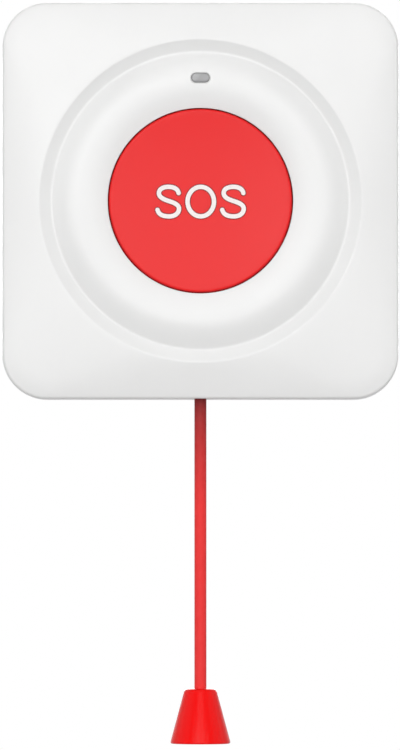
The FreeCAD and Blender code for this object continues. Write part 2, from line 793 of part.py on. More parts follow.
def make_light_window():
    """The clear light pipe: flush in the crest, seated by a flange, reaching back to the lamp."""
    window = new_body("light_window")
    flange = front_sketch(window, f"{WINDOW_SEAT} - window_flange_thick")
    slot(flange, "(window_wide + 2 * window_flange)", "(window_tall + 2 * window_flange)", "0", "window_place")
    pad(flange, "window_flange_thick")
    face = front_sketch(window, WINDOW_SEAT)
    slot(face, "window_wide", "window_tall", "0", "window_place")
    pad(face, "window_seat - window_sink")
    stem = front_sketch(window, f"{LAMP_TOP} + lamp_gap")
    slot(stem, "(window_wide - window_fit)", "(window_tall - window_fit)", "0", "window_place")
    pad(stem, f"{WINDOW_SEAT} - window_flange_thick - {LAMP_TOP} - lamp_gap")
    return window


def make_status_lamp():
    """The lamp on the board behind the light window, with a low dome."""
    lamp = new_body("status_lamp")
    base = front_sketch(lamp, BOARD_FRONT, "0", "window_place")
    centred_rectangle(base, "lamp_wide", "lamp_tall")
    pad(base, "lamp_height - lamp_gap")
    dome = front_sketch(lamp, f"{LAMP_TOP} - lamp_gap", "0", "window_place")
    circle(dome, "0", "0", "lamp_dome")
    pad(dome, "lamp_gap")
    return lamp


def make_main_board():
    """The circuit board, screwed to the cover's bosses."""
    board = new_body("main_board")
    face = front_sketch(board, BOARD_BACK)
    rounded_square(face, BOARD_HALF, "board_corner")
    for right, up in QUARTERS:
        circle(face, f"{right} * {BOSS_PLACE}", f"{up} * {BOSS_PLACE}", "board_hole_radius")
    pad(face, "board_thick")
    return board


def make_board_screws():
    """Four pan-head screws that hold the board to the cover."""
    screws = new_body("board_screws", group=True)
    heads = front_sketch(screws, f"{BOARD_BACK} - screw_head")
    shanks = front_sketch(screws, BOARD_BACK)
    slots = front_sketch(screws, f"{BOARD_BACK} - screw_head - screw_slot")
    for right, up in QUARTERS:
        middle = (f"{right} * {BOSS_PLACE}", f"{up} * {BOSS_PLACE}")
        circle(heads, *middle, "screw_head_radius")
        circle(shanks, *middle, "screw_radius")
        rectangle(slots, f"{middle[0]} - screw_head_radius - screw_slot",
                  f"{middle[0]} + screw_head_radius + screw_slot",
                  f"{middle[1]} - screw_slot / 2", f"{middle[1]} + screw_slot / 2")
    pad(heads, "screw_head")
    pad(shanks, "board_thick + screw_reach - screw_head")
    soften(screws, lies_at_depth(f"{BOARD_BACK} - screw_head"), "screw_head / 3")
    pocket(slots, "2 * screw_slot")
    return screws


def make_cell_holder():
    """The round cup that carries the coin cell on the board's rear."""
    holder = new_body("cell_holder")
    cup = level_sketch(holder, "cell_z", "cell_x")
    inner = "(cell_radius + cell_fit)"
    outer = f"({inner} + holder_wall)"
    profile = [
        ("contact_radius + cell_fit", BOARD_BACK),
        (outer, BOARD_BACK),
        (outer, f"{BOARD_BACK} - holder_height"),
        (inner, f"{BOARD_BACK} - holder_height"),
        (inner, CELL_FRONT),
        ("contact_radius + cell_fit", CELL_FRONT),
    ]
    side_outline(cup, profile)
    revolve(cup)
    notch = front_sketch(holder, f"{BOARD_BACK} - holder_height - holder_wall", "cell_x", "cell_z")
    centred_rectangle(notch, "holder_notch", f"(2 * {outer} + holder_wall)")
    pocket(notch, "holder_height - holder_floor + holder_wall")
    return holder


def make_coin_cell():
    """The coin cell: a flat can with a stepped cap towards the board."""
    cell = new_body("coin_cell")
    can = level_sketch(cell, "cell_z", "cell_x")
    profile = [
        ("0", CELL_REAR),
        ("cell_radius", CELL_REAR),
        ("cell_radius", f"{CELL_FRONT} - cell_step"),
        ("cell_radius - cell_step", f"{CELL_FRONT} - cell_step"),
        ("cell_radius - 2 * cell_step", CELL_FRONT),
        ("0", CELL_FRONT),
    ]
    side_outline(can, profile)
    revolve(can)
    soften(cell, lies_at_depth(CELL_REAR), "cell_step")
    return cell


def make_cell_clip():
    """The bent strap over the cell, with feet soldered to the board."""
    clip = new_body("cell_clip")
    strap = level_sketch(clip, "cell_z", "cell_x")
    inner = "(cell_radius + cell_fit + holder_wall + clip_play)"
    outer = f"({inner} + clip_thick)"
    foot = f"({outer} + clip_foot)"
    rear = f"({CELL_REAR} - clip_thick)"
    lip = f"({BOARD_BACK} - clip_thick)"
    right = [
        (inner, CELL_REAR), (inner, BOARD_BACK), (foot, BOARD_BACK),
        (foot, lip), (outer, lip), (outer, rear),
    ]
    left = [(f"-{x}", depth) for x, depth in reversed(right)]
    side_outline(strap, right + left)
    pad(strap, "clip_wide", both_ways=True)
    return clip


def make_cell_contact():
    """The domed contact under the cell's cap."""
    contact = new_body("cell_contact")
    dome = level_sketch(contact, "cell_z", "cell_x")
    profile = [
        ("0", CELL_FRONT),
        ("contact_radius / 3", CELL_FRONT),
        ("contact_radius * 2 / 3", f"{BOARD_BACK} - contact_thick"),
        ("contact_radius", f"{BOARD_BACK} - contact_thick"),
        ("contact_radius", BOARD_BACK),
        ("contact_radius * 2 / 3 - contact_thick", BOARD_BACK),
        ("contact_radius / 3 - contact_thick", f"{CELL_FRONT} + contact_thick"),
        ("0", f"{CELL_FRONT} + contact_thick"),
    ]
    side_outline(dome, profile)
    revolve(dome)
    return contact


def make_button_cap():
    """The dished cap with its flange, keys, ribs, post and spring pegs, moulded as one."""
    cap = new_body("button_cap")
    inner = f"({CAP_RADIUS} - button_wall)"
    form = level_sketch(cap, "0")
    profile = [
        ("0", f"{CAP_RIM} - button_dish"),
        (f"{CAP_RADIUS} - button_edge", CAP_RIM),
        (CAP_RADIUS, f"{CAP_RIM} - button_edge"),
        (CAP_RADIUS, LEDGE),
        (FLANGE_RADIUS, LEDGE),
        (FLANGE_RADIUS, FLANGE_REAR),
        (inner, FLANGE_REAR),
        (inner, CAP_ROOF),
        ("post_radius", CAP_ROOF),
        ("post_radius", f"{STEM_TOP} + post_gap"),
        ("0", f"{STEM_TOP} + post_gap"),
    ]
    arcs = {0: ("0", None), 1: (f"{CAP_RADIUS} - button_edge", None)}
    side_outline(form, profile, arcs)
    revolve(form)
    keys = front_sketch(cap, FLANGE_REAR)
    start = f"({CAP_RADIUS} - button_wall / 2)"
    reach = f"({FLANGE_RADIUS} + key_reach)"
    for low, high in ((start, reach), (f"-{reach}", f"-{start}")):
        rectangle(keys, low, high, "-key_wide / 2", "key_wide / 2")
    pad(keys, "flange_thick")
    ribs = front_sketch(cap, f"{CAP_ROOF} - rib_drop")
    rib_reach = f"({inner} + button_wall / 2)"
    rectangle(ribs, f"-{rib_reach}", rib_reach, "-rib_thick / 2", "rib_thick / 2")
    pad(ribs, "rib_drop + button_roof / 2")
    peg = front_sketch(cap, f"{CAP_ROOF} - peg_length")
    circle(peg, "spring_ring * cos(spring_angle)", "spring_ring * sin(spring_angle)", "peg_radius")
    spread(pad(peg, "peg_length + button_roof / 2"), "spring_count")
    return cap


def make_button_springs():
    """The coil springs that lift the button off the board."""
    springs = new_body("button_springs", group=True)
    wire = level_sketch(springs, "spring_ring * sin(spring_angle)", "spring_ring * cos(spring_angle)")
    circle(wire, "spring_radius", f"-({BOARD_FRONT} + spring_wire / 2)", "spring_wire / 2")
    height = f"({CAP_ROOF} - {BOARD_FRONT} - spring_wire)"
    spread(coil(wire, f"{height} / spring_turns", height), "spring_count")
    return springs


def make_button_switch():
    """The push switch's case, with a round well for its stem."""
    case = new_body("button_switch")
    base = front_sketch(case, BOARD_FRONT)
    centred_rectangle(base, "switch_wide", "switch_wide")
    pad(base, "switch_height")
    well = front_sketch(case, f"{BOARD_FRONT} + stem_floor")
    circle(well, "0", "0", "stem_radius + stem_fit")
    pocket(well, "switch_height")
    return case


def make_button_stem():
    """The push switch's stem, under the button's post."""
    stem = new_body("button_switch_stem")
    form = level_sketch(stem, "0")
    foot = f"({BOARD_FRONT} + switch_height - stem_tail)"
    profile = [("0", foot), ("stem_radius", foot), ("stem_radius", STEM_TOP), ("0", STEM_TOP)]
    side_outline(form, profile)
    revolve(form)
    soften(stem, lies_at_depth(STEM_TOP), "stem_fit * 3", "PartDesign::Chamfer")
    return stem


def make_pull_slider():
    """The slider: a block with a pocket for the cord's crimp and a wedge that works the snap switch."""
    slider = new_body("pull_slider")
    block = front_sketch(slider, SLIDER_REAR)
    rectangle(block, "-slider_half", "slider_half", SLIDER_FOOT, SLIDER_TOP)
    pad(block, "slider_thick")
    wedge = front_sketch(slider, f"{CORD_DEPTH} - wedge_thick / 2")
    foot_face = f"({WEDGE_FACE} + wedge_slope * ({WEDGE_FOOT} - {PLUNGER_Z}))"
    corners = [
        ("slider_half / 2", WEDGE_FOOT),
        (foot_face, WEDGE_FOOT),
        (WEDGE_TIP, WEDGE_TOP),
        ("slider_half / 2", WEDGE_TOP),
    ]
    outline(wedge, corners)
    pad(wedge, "wedge_thick")
    pocket_sketch = level_sketch(slider, CRIMP_FOOT)
    circle(pocket_sketch, "0", f"-{CORD_DEPTH}", "crimp_radius + slider_pocket_fit")
    pocket(pocket_sketch, "slider_height")
    bore = level_sketch(slider, f"{SLIDER_FOOT} - slider_floor")
    circle(bore, "0", f"-{CORD_DEPTH}", "cord_radius + slider_pocket_fit")
    pocket(bore, "3 * slider_floor")
    return slider


def upright_turned(name, profile, arcs=None):
    """Turn a piece about the cord's line, from radii and heights."""
    body = new_body(name)
    form = front_sketch(body, CORD_DEPTH)
    outline(form, profile, arcs)
    revolve(form)
    return body


def make_slider_spring():
    """The coil spring round the cord that lifts the slider."""
    spring = new_body("slider_spring")
    wire = front_sketch(spring, CORD_DEPTH)
    circle(wire, "pull_spring_radius", f"{SEAT_TOP} + pull_spring_wire / 2", "pull_spring_wire / 2")
    height = f"({SLIDER_FOOT} - {SEAT_TOP} - pull_spring_wire)"
    coil(wire, f"{height} / pull_spring_turns", height, outwards=False)
    return spring


def make_cord_crimp():
    """The crimp on the cord's upper end."""
    profile = [
        ("cord_radius", CRIMP_FOOT),
        ("crimp_radius", CRIMP_FOOT),
        ("crimp_radius", CORD_TOP),
        ("cord_radius", CORD_TOP),
    ]
    return upright_turned("cord_crimp", profile)


def make_pull_cord():
    """The cord, straight under its own weight."""
    profile = [("0", CORD_FOOT), ("cord_radius", CORD_FOOT), ("cord_radius", CORD_TOP), ("0", CORD_TOP)]
    return upright_turned("pull_cord", profile)


def make_pull_cone():
    """The hollow cone that is gripped, open at its base, hanging on the knot."""
    profile = [
        ("cord_radius + cone_hole_gap", KNOT_TOP),
        ("knot_radius + cone_hole_gap", KNOT_TOP),
        ("cone_base_radius - cone_wall", CONE_FOOT),
        ("cone_base_radius", CONE_FOOT),
        ("cone_top_radius", CONE_TOP),
        ("cord_radius + cone_hole_gap", CONE_TOP),
    ]
    cone = upright_turned("pull_cone", profile)
    soften(cone, lies_at_height(CONE_TOP, "cone_top_radius"), "cone_round")
    soften(cone, lies_at_height(CONE_FOOT, "cone_base_radius"), "cone_rim_round")
    return cone


def make_cord_knot():
    """The knot under the cone's roof."""
    profile = [
        ("cord_radius", KNOT_FOOT),
        ("knot_radius - knot_round", KNOT_FOOT),
        ("knot_radius", f"{KNOT_FOOT} + knot_round"),
        ("knot_radius", f"{KNOT_TOP} - knot_round"),
        ("knot_radius - knot_round", KNOT_TOP),
        ("cord_radius", KNOT_TOP),
    ]
    arcs = {side: ("knot_radius - knot_round", None) for side in (1, 3)}
    return upright_turned("cord_knot", profile, arcs)


def make_pull_switch():
    """The snap switch's case, lying on the board beside the slider, with its feet."""
    case = new_body("pull_switch")
    middle_z = f"({PLUNGER_Z} + snap_above - snap_long / 2)"
    body_sketch = front_sketch(case, BOARD_FRONT)
    far = f"({SNAP_FACE} + snap_wide)"
    low = f"({middle_z} - snap_long / 2)"
    high = f"({middle_z} + snap_long / 2)"
    rectangle(body_sketch, SNAP_FACE, far, low, high)
    pad(body_sketch, "snap_thick")
    socket = new_sketch(case, "YZ_Plane", f"-({BOARD_FRONT} + snap_thick / 2)", PLUNGER_Z, f"{SNAP_FACE} - snap_gap")
    centred_rectangle(socket, "(plunger_thick + 2 * plunger_fit)", "(plunger_tall + 2 * plunger_fit)")
    pocket(socket, f"snap_gap + plunger_tail + {PLUNGER_TRAVEL} + plunger_room")
    feet = front_sketch(case, BOARD_FRONT)
    for share in (-1, 0, 1):
        level = f"({middle_z} + {share} * snap_long / 3)"
        rectangle(feet, f"{far} - snap_foot / 2", f"{far} + snap_foot",
                  f"{level} - snap_foot / 2", f"{level} + snap_foot / 2")
    pad(feet, "snap_foot_thick")
    return case


def make_pull_plunger():
    """The snap switch's plunger, against the wedge."""
    plunger = new_body("pull_switch_plunger")
    bar = new_sketch(plunger, "YZ_Plane", f"-({BOARD_FRONT} + snap_thick / 2)", PLUNGER_Z, PLUNGER_TIP)
    centred_rectangle(bar, "plunger_thick", "plunger_tall")
    pad(bar, f"{SNAP_FACE} - {PLUNGER_TIP} + plunger_tail")
    return plunger


def make_radio_board():
    """The small radio board on the main board."""
    radio = new_body("radio_board")
    face = front_sketch(radio, BOARD_FRONT, RADIO_X, RADIO_Z)
    centred_rectangle(face, "radio_wide", "radio_tall")
    pad(face, "radio_thick")
    return radio


def make_radio_shield():
    """The metal can over the radio's chips."""
    shield = new_body("radio_shield")
    face = front_sketch(shield, f"{BOARD_FRONT} + radio_thick", RADIO_X, RADIO_Z)
    centred_rectangle(face, "(radio_wide - shield_margin)", "(radio_tall - 2 * shield_margin)")
    pad(face, "shield_height")
    front = f"{BOARD_FRONT} + radio_thick + shield_height"
    soften(shield, lies_at_depth(front), "shield_round")
    return shield


def make_antenna_wire():
    """The bent wire antenna, standing off the board on its solder post and running along its top."""
    antenna = new_body("antenna_wire")
    level = f"({BOARD_FRONT} + antenna_stand)"
    corner_x = f"({ANTENNA_X} + antenna_bend)"
    corner_z = f"({ANTENNA_TOP} - antenna_bend)"
    end_x = f"({BOARD_HALF} - antenna_far_side)"
    route = front_sketch(antenna, level)
    start, bend, crest, end = (
        Vector(number(x), number(z), 0)
        for x, z in ((ANTENNA_X, ANTENNA_START), (ANTENNA_X, corner_z),
                     (corner_x, ANTENNA_TOP), (end_x, ANTENNA_TOP)))
    ring = Part.Circle(Vector(crest.x, bend.y, 0), Vector(0, 0, 1), number("antenna_bend"))
    route.addGeometry(Part.LineSegment(start, bend))
    route.addGeometry(Part.ArcOfCircle(ring, math.pi / 2, math.pi))
    route.addGeometry(Part.LineSegment(crest, end))
    route.addConstraint(Sketcher.Constraint("Coincident", 0, 2, 1, 2))
    route.addConstraint(Sketcher.Constraint("Coincident", 1, 1, 2, 1))
    fix_point(route, 0, 1, ANTENNA_X, ANTENNA_START)
    fix_point(route, 0, 2, ANTENNA_X, corner_z)
    fix_point(route, 1, 1, corner_x, ANTENNA_TOP)
    fix(route, "DistanceX", -1, 1, 1, 3, corner_x)
    fix_point(route, 2, 2, end_x, ANTENNA_TOP)
    section = level_sketch(antenna, ANTENNA_START, ANTENNA_X)
    circle(section, "0", f"-{level}", "antenna_radius")
    pipe = antenna.newObject("PartDesign::AdditivePipe", "antenna_pipe")
    pipe.Profile = section
    pipe.Spine = (route, [])
    post = front_sketch(antenna, BOARD_FRONT, ANTENNA_X, f"{ANTENNA_START} + antenna_radius")
    circle(post, "0", "0", "antenna_post")
    pad(post, "antenna_stand + 1.5 * antenna_radius")
    return antenna


def make_control_chip():
    """The control chip with its two rows of leads."""
    chip = new_body("control_chip")
    place = (f"{BOARD_HALF} - chip_side", f"{BOARD_HALF} - chip_top")
    face = front_sketch(chip, f"{BOARD_FRONT} + lead_thick / 4", *place)
    centred_rectangle(face, "chip_wide", "chip_tall")
    pad(face, "chip_thick")
    leads = front_sketch(chip, BOARD_FRONT, *place)
    for lead in range(CHIP_LEADS):
        middle = f"({lead - CHIP_LEADS // 2} * chip_pitch)"
        rectangle(leads, "-(chip_wide / 2 + lead_reach)", "chip_wide / 2 + lead_reach",
                  f"{middle} - lead_wide / 2", f"{middle} + lead_wide / 2")
    pad(leads, "lead_thick")
    return chip


def make_crystal_can():
    """The crystal in its metal can."""
    can = new_body("crystal_can")
    base = front_sketch(can, BOARD_FRONT, f"{BOARD_HALF} - crystal_side", "crystal_z")
    half = "(crystal_wide / 2)"
    flat = "((crystal_long - crystal_wide) / 2)"
    corners = [
        (half, f"-{flat}"), (half, flat), ("0", f"{flat} + {half}"),
        (f"-{half}", flat), (f"-{half}", f"-{flat}"), ("0", f"-{flat} - {half}"),
    ]
    arcs = {1: ("0", None), 2: ("0", None), 4: ("0", None), 5: ("0", None)}
    outline(base, corners, arcs)
    pad(base, "crystal_height")
    return can


def make_supply_capacitor():
    """The round capacitor across the supply."""
    can = new_body("supply_capacitor")
    base = front_sketch(can, BOARD_FRONT, f"{BOARD_LEFT} + capacitor_side", f"{BOARD_LEFT} + capacitor_foot")
    circle(base, "0", "0", "capacitor_radius")
    pad(base, "capacitor_height")
    soften(can, lies_at_depth(f"{BOARD_FRONT} + capacitor_height"), "shield_round")
    return can


def make_small_parts():
    """Rows of small resistors and capacitors."""
    parts = new_body("small_parts", group=True)
    face = front_sketch(parts, BOARD_FRONT, f"{BOARD_LEFT} + small_side", f"{BOARD_LEFT} + small_foot")
    for row in range(SMALL_ROWS):
        for column in range(SMALL_COLUMNS):
            x = f"({column} * small_pitch)"
            z = f"(-{row} * small_pitch)"
            rectangle(face, x, f"{x} + small_wide", z, f"{z} + small_long")
    pad(face, "small_thick")
    return parts


PIECES = [
    make_front_cover(),
    make_back_plate(),
    make_mounting_tape(),
    make_light_window(),
    make_status_lamp(),
    make_main_board(),
    make_board_screws(),
    make_cell_holder(),
    make_coin_cell(),
    make_cell_clip(),
    make_cell_contact(),
    make_button_cap(),
    make_button_springs(),
    make_button_switch(),
    make_button_stem(),
    make_pull_slider(),
    make_slider_spring(),
    make_cord_crimp(),
    make_pull_cord(),
    make_pull_cone(),
    make_cord_knot(),
    make_pull_switch(),
    make_pull_plunger(),
    make_radio_board(),
    make_radio_shield(),
    make_antenna_wire(),
    make_control_chip(),
    make_crystal_can(),
    make_supply_capacitor(),
    make_small_parts(),
]
document.recompute()

for item in document.Objects:
    if {"Invalid", "Error"} & set(item.State):
        raise RuntimeError(f"{item.Name} did not build: {item.State}")

os.makedirs("parts", exist_ok=True)
for piece in PIECES:
    if piece.Shape.isNull() or not piece.Shape.isValid():
        raise RuntimeError(f"{piece.Label} has no sound shape")
for piece in PIECES:
    piece.Shape.exportStep(f"parts/{piece.Label}.step")
    solids = len(piece.Shape.Solids)
    print(f"{piece.Label}: {solids} solids, {piece.Shape.Volume:.1f} cubic millimetres")
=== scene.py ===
"""Looks of the wireless panic button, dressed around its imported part.

The part hangs on a wall: X runs to the right, Z up along the hanging cord, and depth grows out of the
wall towards -Y, so a depth of 5 lies at Y = -5. Sizes in the classes are in millimetres, and every mesh
is built in metres.
"""

import json
import logging
import math
from dataclasses import dataclass, field
from enum import Enum
from typing import Iterable, Sequence

import bmesh
import bpy
from bmesh.types import BMesh
from bpy.types import ID, Material, Mesh, Node, NodeSocket, NodeTree, Object
from mathutils import Matrix, Vector
from mathutils.geometry import interpolate_bezier


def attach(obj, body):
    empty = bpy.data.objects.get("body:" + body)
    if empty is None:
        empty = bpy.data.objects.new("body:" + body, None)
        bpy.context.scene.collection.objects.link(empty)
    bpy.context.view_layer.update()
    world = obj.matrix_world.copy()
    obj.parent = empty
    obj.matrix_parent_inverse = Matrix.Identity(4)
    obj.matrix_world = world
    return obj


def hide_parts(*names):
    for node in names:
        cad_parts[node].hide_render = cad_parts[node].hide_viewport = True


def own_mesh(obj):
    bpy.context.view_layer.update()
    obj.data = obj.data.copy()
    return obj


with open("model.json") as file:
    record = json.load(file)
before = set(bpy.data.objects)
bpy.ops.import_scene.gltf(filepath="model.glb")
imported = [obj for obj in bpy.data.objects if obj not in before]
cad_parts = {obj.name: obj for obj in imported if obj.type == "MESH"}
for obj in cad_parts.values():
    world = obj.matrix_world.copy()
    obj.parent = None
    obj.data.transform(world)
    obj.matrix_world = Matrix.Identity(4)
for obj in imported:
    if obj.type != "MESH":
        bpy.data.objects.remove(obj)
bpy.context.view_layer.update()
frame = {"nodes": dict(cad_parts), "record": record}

Colour = tuple[float, float, float]
Pair = tuple[float, float]
Triple = tuple[float, float, float]
Box = tuple[Pair, Pair, Pair]

MM = 0.001
TURN = 2 * math.pi
# Points that lie closer than this, in metres, are merged.
MERGE = 1e-6
# A length too small to see, in millimetres, that keeps two faces out of one plane.
HAIR = 0.01
ROUND_STEPS = 5
CORD_DEPTH = 14.1
WINDOW_HEIGHT = 26.5
PEG_REACH = 13.5
PEG_TURNS = [math.radians(degrees) for degrees in (30, 150, 270)]

log = logging.getLogger("panic_button")


class Body(Enum):
    """The moving bodies of the part that pieces ride on."""

    HOUSING = "housing"
    BUTTON = "button"
    BUTTON_CONTACT = "button_contact"
    PULL = "pull"
    PULL_CONTACT = "pull_contact"


class Joining(Enum):
    """The ways of putting two meshes together."""

    CUT = "DIFFERENCE"
    UNITE = "UNION"


# Shapes


@dataclass(frozen=True)
class Axis:
    """A line that round pieces are turned about.

    Attributes:
        centre: A point on the line, in metres.
        along: The direction in which places along the line grow.
        out: The direction from the line in which a profile is drawn.
    """

    centre: Vector
    along: Vector
    out: Vector

    def place(self, radius: float, along: float) -> Vector:
        """Give the point at a radius and a place along the line, both in millimetres."""
        return self.centre + (self.out * radius + self.along * along) * MM


def outward(across: float = 0.0, up: float = 0.0) -> Axis:
    """Give the line that points out of the wall at a place across and up, in millimetres."""
    return Axis(Vector((across, 0, up)) * MM, Vector((0, -1, 0)), Vector((1, 0, 0)))


BUTTON_AXIS = outward()
PEG_AXES = [outward(PEG_REACH * math.cos(angle), PEG_REACH * math.sin(angle)) for angle in PEG_TURNS]
CORD_AXIS = Axis(Vector((0, -CORD_DEPTH * MM, 0)), Vector((0, 0, 1)), Vector((1, 0, 0)))


@dataclass
class Profile:
    """An outline of radii and places along an axis, in millimetres.

    Attributes:
        corners: Each corner's radius, place along the axis and length of rounding.
    """

    corners: list[Triple] = field(default_factory=list)

    def corner(self, radius: float, along: float, soften: float = 0.0) -> "Profile":
        """Add a corner, rounded off by a length each way."""
        self.corners.append((radius, along, soften))
        return self

    def arc(self, radius: float, along: float, centre_radius: float, steps: int = 14) -> "Profile":
        """Add an arc from the last corner to a new one.

        Args:
            radius: The new corner's radius.
            along: The new corner's place along the axis.
            centre_radius: The radius at which the arc's centre lies.
            steps: How many straight pieces draw the arc.

        Returns:
            The profile itself.
        """
        start_radius, start_along, _ = self.corners[-1]
        gap = (start_radius - centre_radius) ** 2 - (radius - centre_radius) ** 2
        centre_along = (gap + start_along**2 - along**2) / (2 * (start_along - along))
        reach = math.hypot(radius - centre_radius, along - centre_along)
        first = math.atan2(start_along - centre_along, start_radius - centre_radius)
        last = math.atan2(along - centre_along, radius - centre_radius)
        swing = (last - first + math.pi) % TURN - math.pi
        for step in range(1, steps + 1):
            angle = first + swing * step / steps
            self.corner(centre_radius + reach * math.cos(angle), centre_along + reach * math.sin(angle))
        return self

    def drawn(self) -> list[Vector]:
        """Work out the outline's points, with its corners rounded.

        Returns:
            Each point's radius and place along the axis.
        """
        points: list[Vector] = []
        for index, (radius, along, soften) in enumerate(self.corners):
            here = Vector((radius, along))
            if not soften:
                points.append(here)
                continue
            before = Vector(self.corners[index - 1][:2])
            after = Vector(self.corners[(index + 1) % len(self.corners)][:2])
            start = here + (before - here).normalized() * soften
            stop = here + (after - here).normalized() * soften
            for step in range(ROUND_STEPS + 1):
                share = step / ROUND_STEPS
                points.append(start.lerp(here, share).lerp(here.lerp(stop, share), share))
        return points


def cleaned(mesh: BMesh) -> BMesh:
    """Merge a mesh's doubles and turn its faces outwards.

    Args:
        mesh: The mesh, which is changed.

    Returns:
        The same mesh.
    """
    bmesh.ops.remove_doubles(mesh, verts=mesh.verts, dist=MERGE)
    bmesh.ops.dissolve_degenerate(mesh, dist=MERGE / 10, edges=mesh.edges)
    bmesh.ops.recalc_face_normals(mesh, faces=mesh.faces)
    return mesh


def turned(profile: Profile, axis: Axis, steps: int, closed: bool = True) -> BMesh:
    """Turn a profile about an axis.

    Args:
        profile: The outline to turn.
        axis: The line to turn it about.
        steps: How many steps make the full turn.
        closed: Whether the outline's last corner joins its first. One that starts and ends on the
            axis stays open.

    Returns:
        The closed mesh.
    """
    mesh = bmesh.new()
    points = [mesh.verts.new(axis.place(point.x, point.y)) for point in profile.drawn()]
    ends = points[1:] + points[:1] if closed else points[1:]
    edges = [mesh.edges.new(pair) for pair in zip(points, ends)]
    bmesh.ops.spin(mesh, geom=points + edges, cent=axis.centre, axis=axis.along, angle=TURN,
                   steps=steps, use_merge=True, use_duplicate=False)
    return cleaned(mesh)


def rod(axis: Axis, radius: float, along: Pair, soften: float = 0.0, steps: int = 48) -> BMesh:
    """Turn a plain rod about an axis.

    Args:
        axis: Its middle line.
        radius: Its radius.
        along: Where it starts and ends along that line.
        soften: How far its two edges are rounded.
        steps: How many steps make the full turn.

    Returns:
        The mesh.
    """
    low, high = along
    profile = Profile().corner(0, low).corner(radius, low, soften)
    return turned(profile.corner(radius, high, soften).corner(0, high), axis, steps, closed=False)


def bevelled(mesh: BMesh, edges: Iterable, size: float, segments: int = 3) -> BMesh:
    """Round some edges of a mesh by a size in millimetres."""
    bmesh.ops.bevel(mesh, geom=list(edges), offset=size * MM, offset_type="OFFSET", affect="EDGES",
                    segments=segments, profile=0.5, material=-1, clamp_overlap=True)
    return mesh


def block(x: Pair, depth: Pair, z: Pair, soften: float = 0.15) -> BMesh:
    """Make a box with softened edges.

    Args:
        x: Its left and right ends, in millimetres.
        depth: Its rear and front.
        z: Its foot and top.
        soften: How far its edges are rounded.

    Returns:
        The mesh.
    """
    mesh = bmesh.new()
    middle = Vector((sum(x), -sum(depth), sum(z))) / 2 * MM
    spans = [(high - low) * MM for low, high in (x, depth, z)]
    place = Matrix.Translation(middle) @ Matrix.Diagonal((*spans, 1))
    bmesh.ops.create_cube(mesh, size=1, matrix=place)
    return bevelled(mesh, mesh.edges, soften) if soften else mesh


def mirrored(side: int, span: Pair) -> Pair:
    """Give a span as it is on side 1, or mirrored to side -1."""
    return span if side > 0 else (-span[1], -span[0])


def stadium(wide: float, tall: float, depth: Pair, flare: float = 0.0, segments: int = 64) -> BMesh:
    """Make a level bar with round ends that points out of the wall at the light window's height.

    Args:
        wide: Its full width in millimetres.
        tall: Its height.
        depth: Its rear and front.
        flare: How much further its front reaches on every side.
        segments: How many straight pieces draw its two ends together.

    Returns:
        The mesh.
    """
    mesh = bmesh.new()
    lying = Matrix.Rotation(math.pi / 2, 4, "X")
    bmesh.ops.create_circle(mesh, cap_ends=True, segments=segments, radius=tall / 2 * MM,
                            matrix=lying @ Matrix.Rotation(math.pi / segments, 4, "Z"))
    for side in (1, -1):
        half = [vertex for vertex in mesh.verts if vertex.co.x * side > 0]
        bmesh.ops.translate(mesh, verts=half, vec=(side * (wide - tall) / 2 * MM, 0, 0))
    grown = bmesh.ops.extrude_face_region(mesh, geom=mesh.faces[:])
    front = [item for item in grown["geom"] if isinstance(item, bmesh.types.BMVert)]
    rear = [vertex for vertex in mesh.verts if vertex not in set(front)]
    for group, level in zip((rear, front), depth):
        bmesh.ops.translate(mesh, verts=group, vec=(0, -level * MM, WINDOW_HEIGHT * MM))
    if flare:
        spread = Matrix.Diagonal((1 + 2 * flare / wide, 1, 1 + 2 * flare / tall))
        about = Matrix.Translation((0, 0, -WINDOW_HEIGHT * MM))
        bmesh.ops.transform(mesh, matrix=spread.to_4x4(), space=about, verts=front)
    return cleaned(mesh)


def stored(name: str, mesh: BMesh) -> Mesh:
    """Write a mesh into new mesh data and free it.

    Args:
        name: The data's name.
        mesh: The mesh.

    Returns:
        The data.
    """
    data = bpy.data.meshes.new(name)
    mesh.to_mesh(data)
    mesh.free()
    return data


def placed(name: str, data: ID) -> Object:
    """Put an object into the scene, at the origin.

    Args:
        name: Its name.
        data: Its mesh, curve, light or camera.

    Returns:
        The object.
    """
    holder = bpy.data.objects.new(name, data)
    bpy.context.scene.collection.objects.link(holder)
    return holder


def poured(target: BMesh, source: BMesh) -> BMesh:
    """Add one mesh to another.

    Args:
        target: The mesh that grows.
        source: The mesh that is added and freed.

    Returns:
        The first mesh.
    """
    holder = stored("poured", source)
    target.from_mesh(holder)
    bpy.data.meshes.remove(holder)
    return target


def combined(base: BMesh, way: Joining, *tools: BMesh) -> BMesh:
    """Cut one closed mesh with others, or unite it with them, one after another.

    Args:
        base: The mesh that stays.
        way: Which of the two is done.
        *tools: The meshes that cut it or are joined to it.

    Returns:
        The new mesh. All the given ones are freed.
    """
    for tool in tools:
        pair = [placed("joining", stored("joining", mesh)) for mesh in (base, tool)]
        modifier = pair[0].modifiers.new("joining", "BOOLEAN")
        modifier.operation = way.value
        modifier.solver = "EXACT"
        modifier.object = pair[1]
        base = bmesh.new()
        base.from_object(pair[0], bpy.context.evaluated_depsgraph_get())
        for item in pair:
            data = item.data
            bpy.data.objects.remove(item)
            bpy.data.meshes.remove(data)
        cleaned(base)
    return base


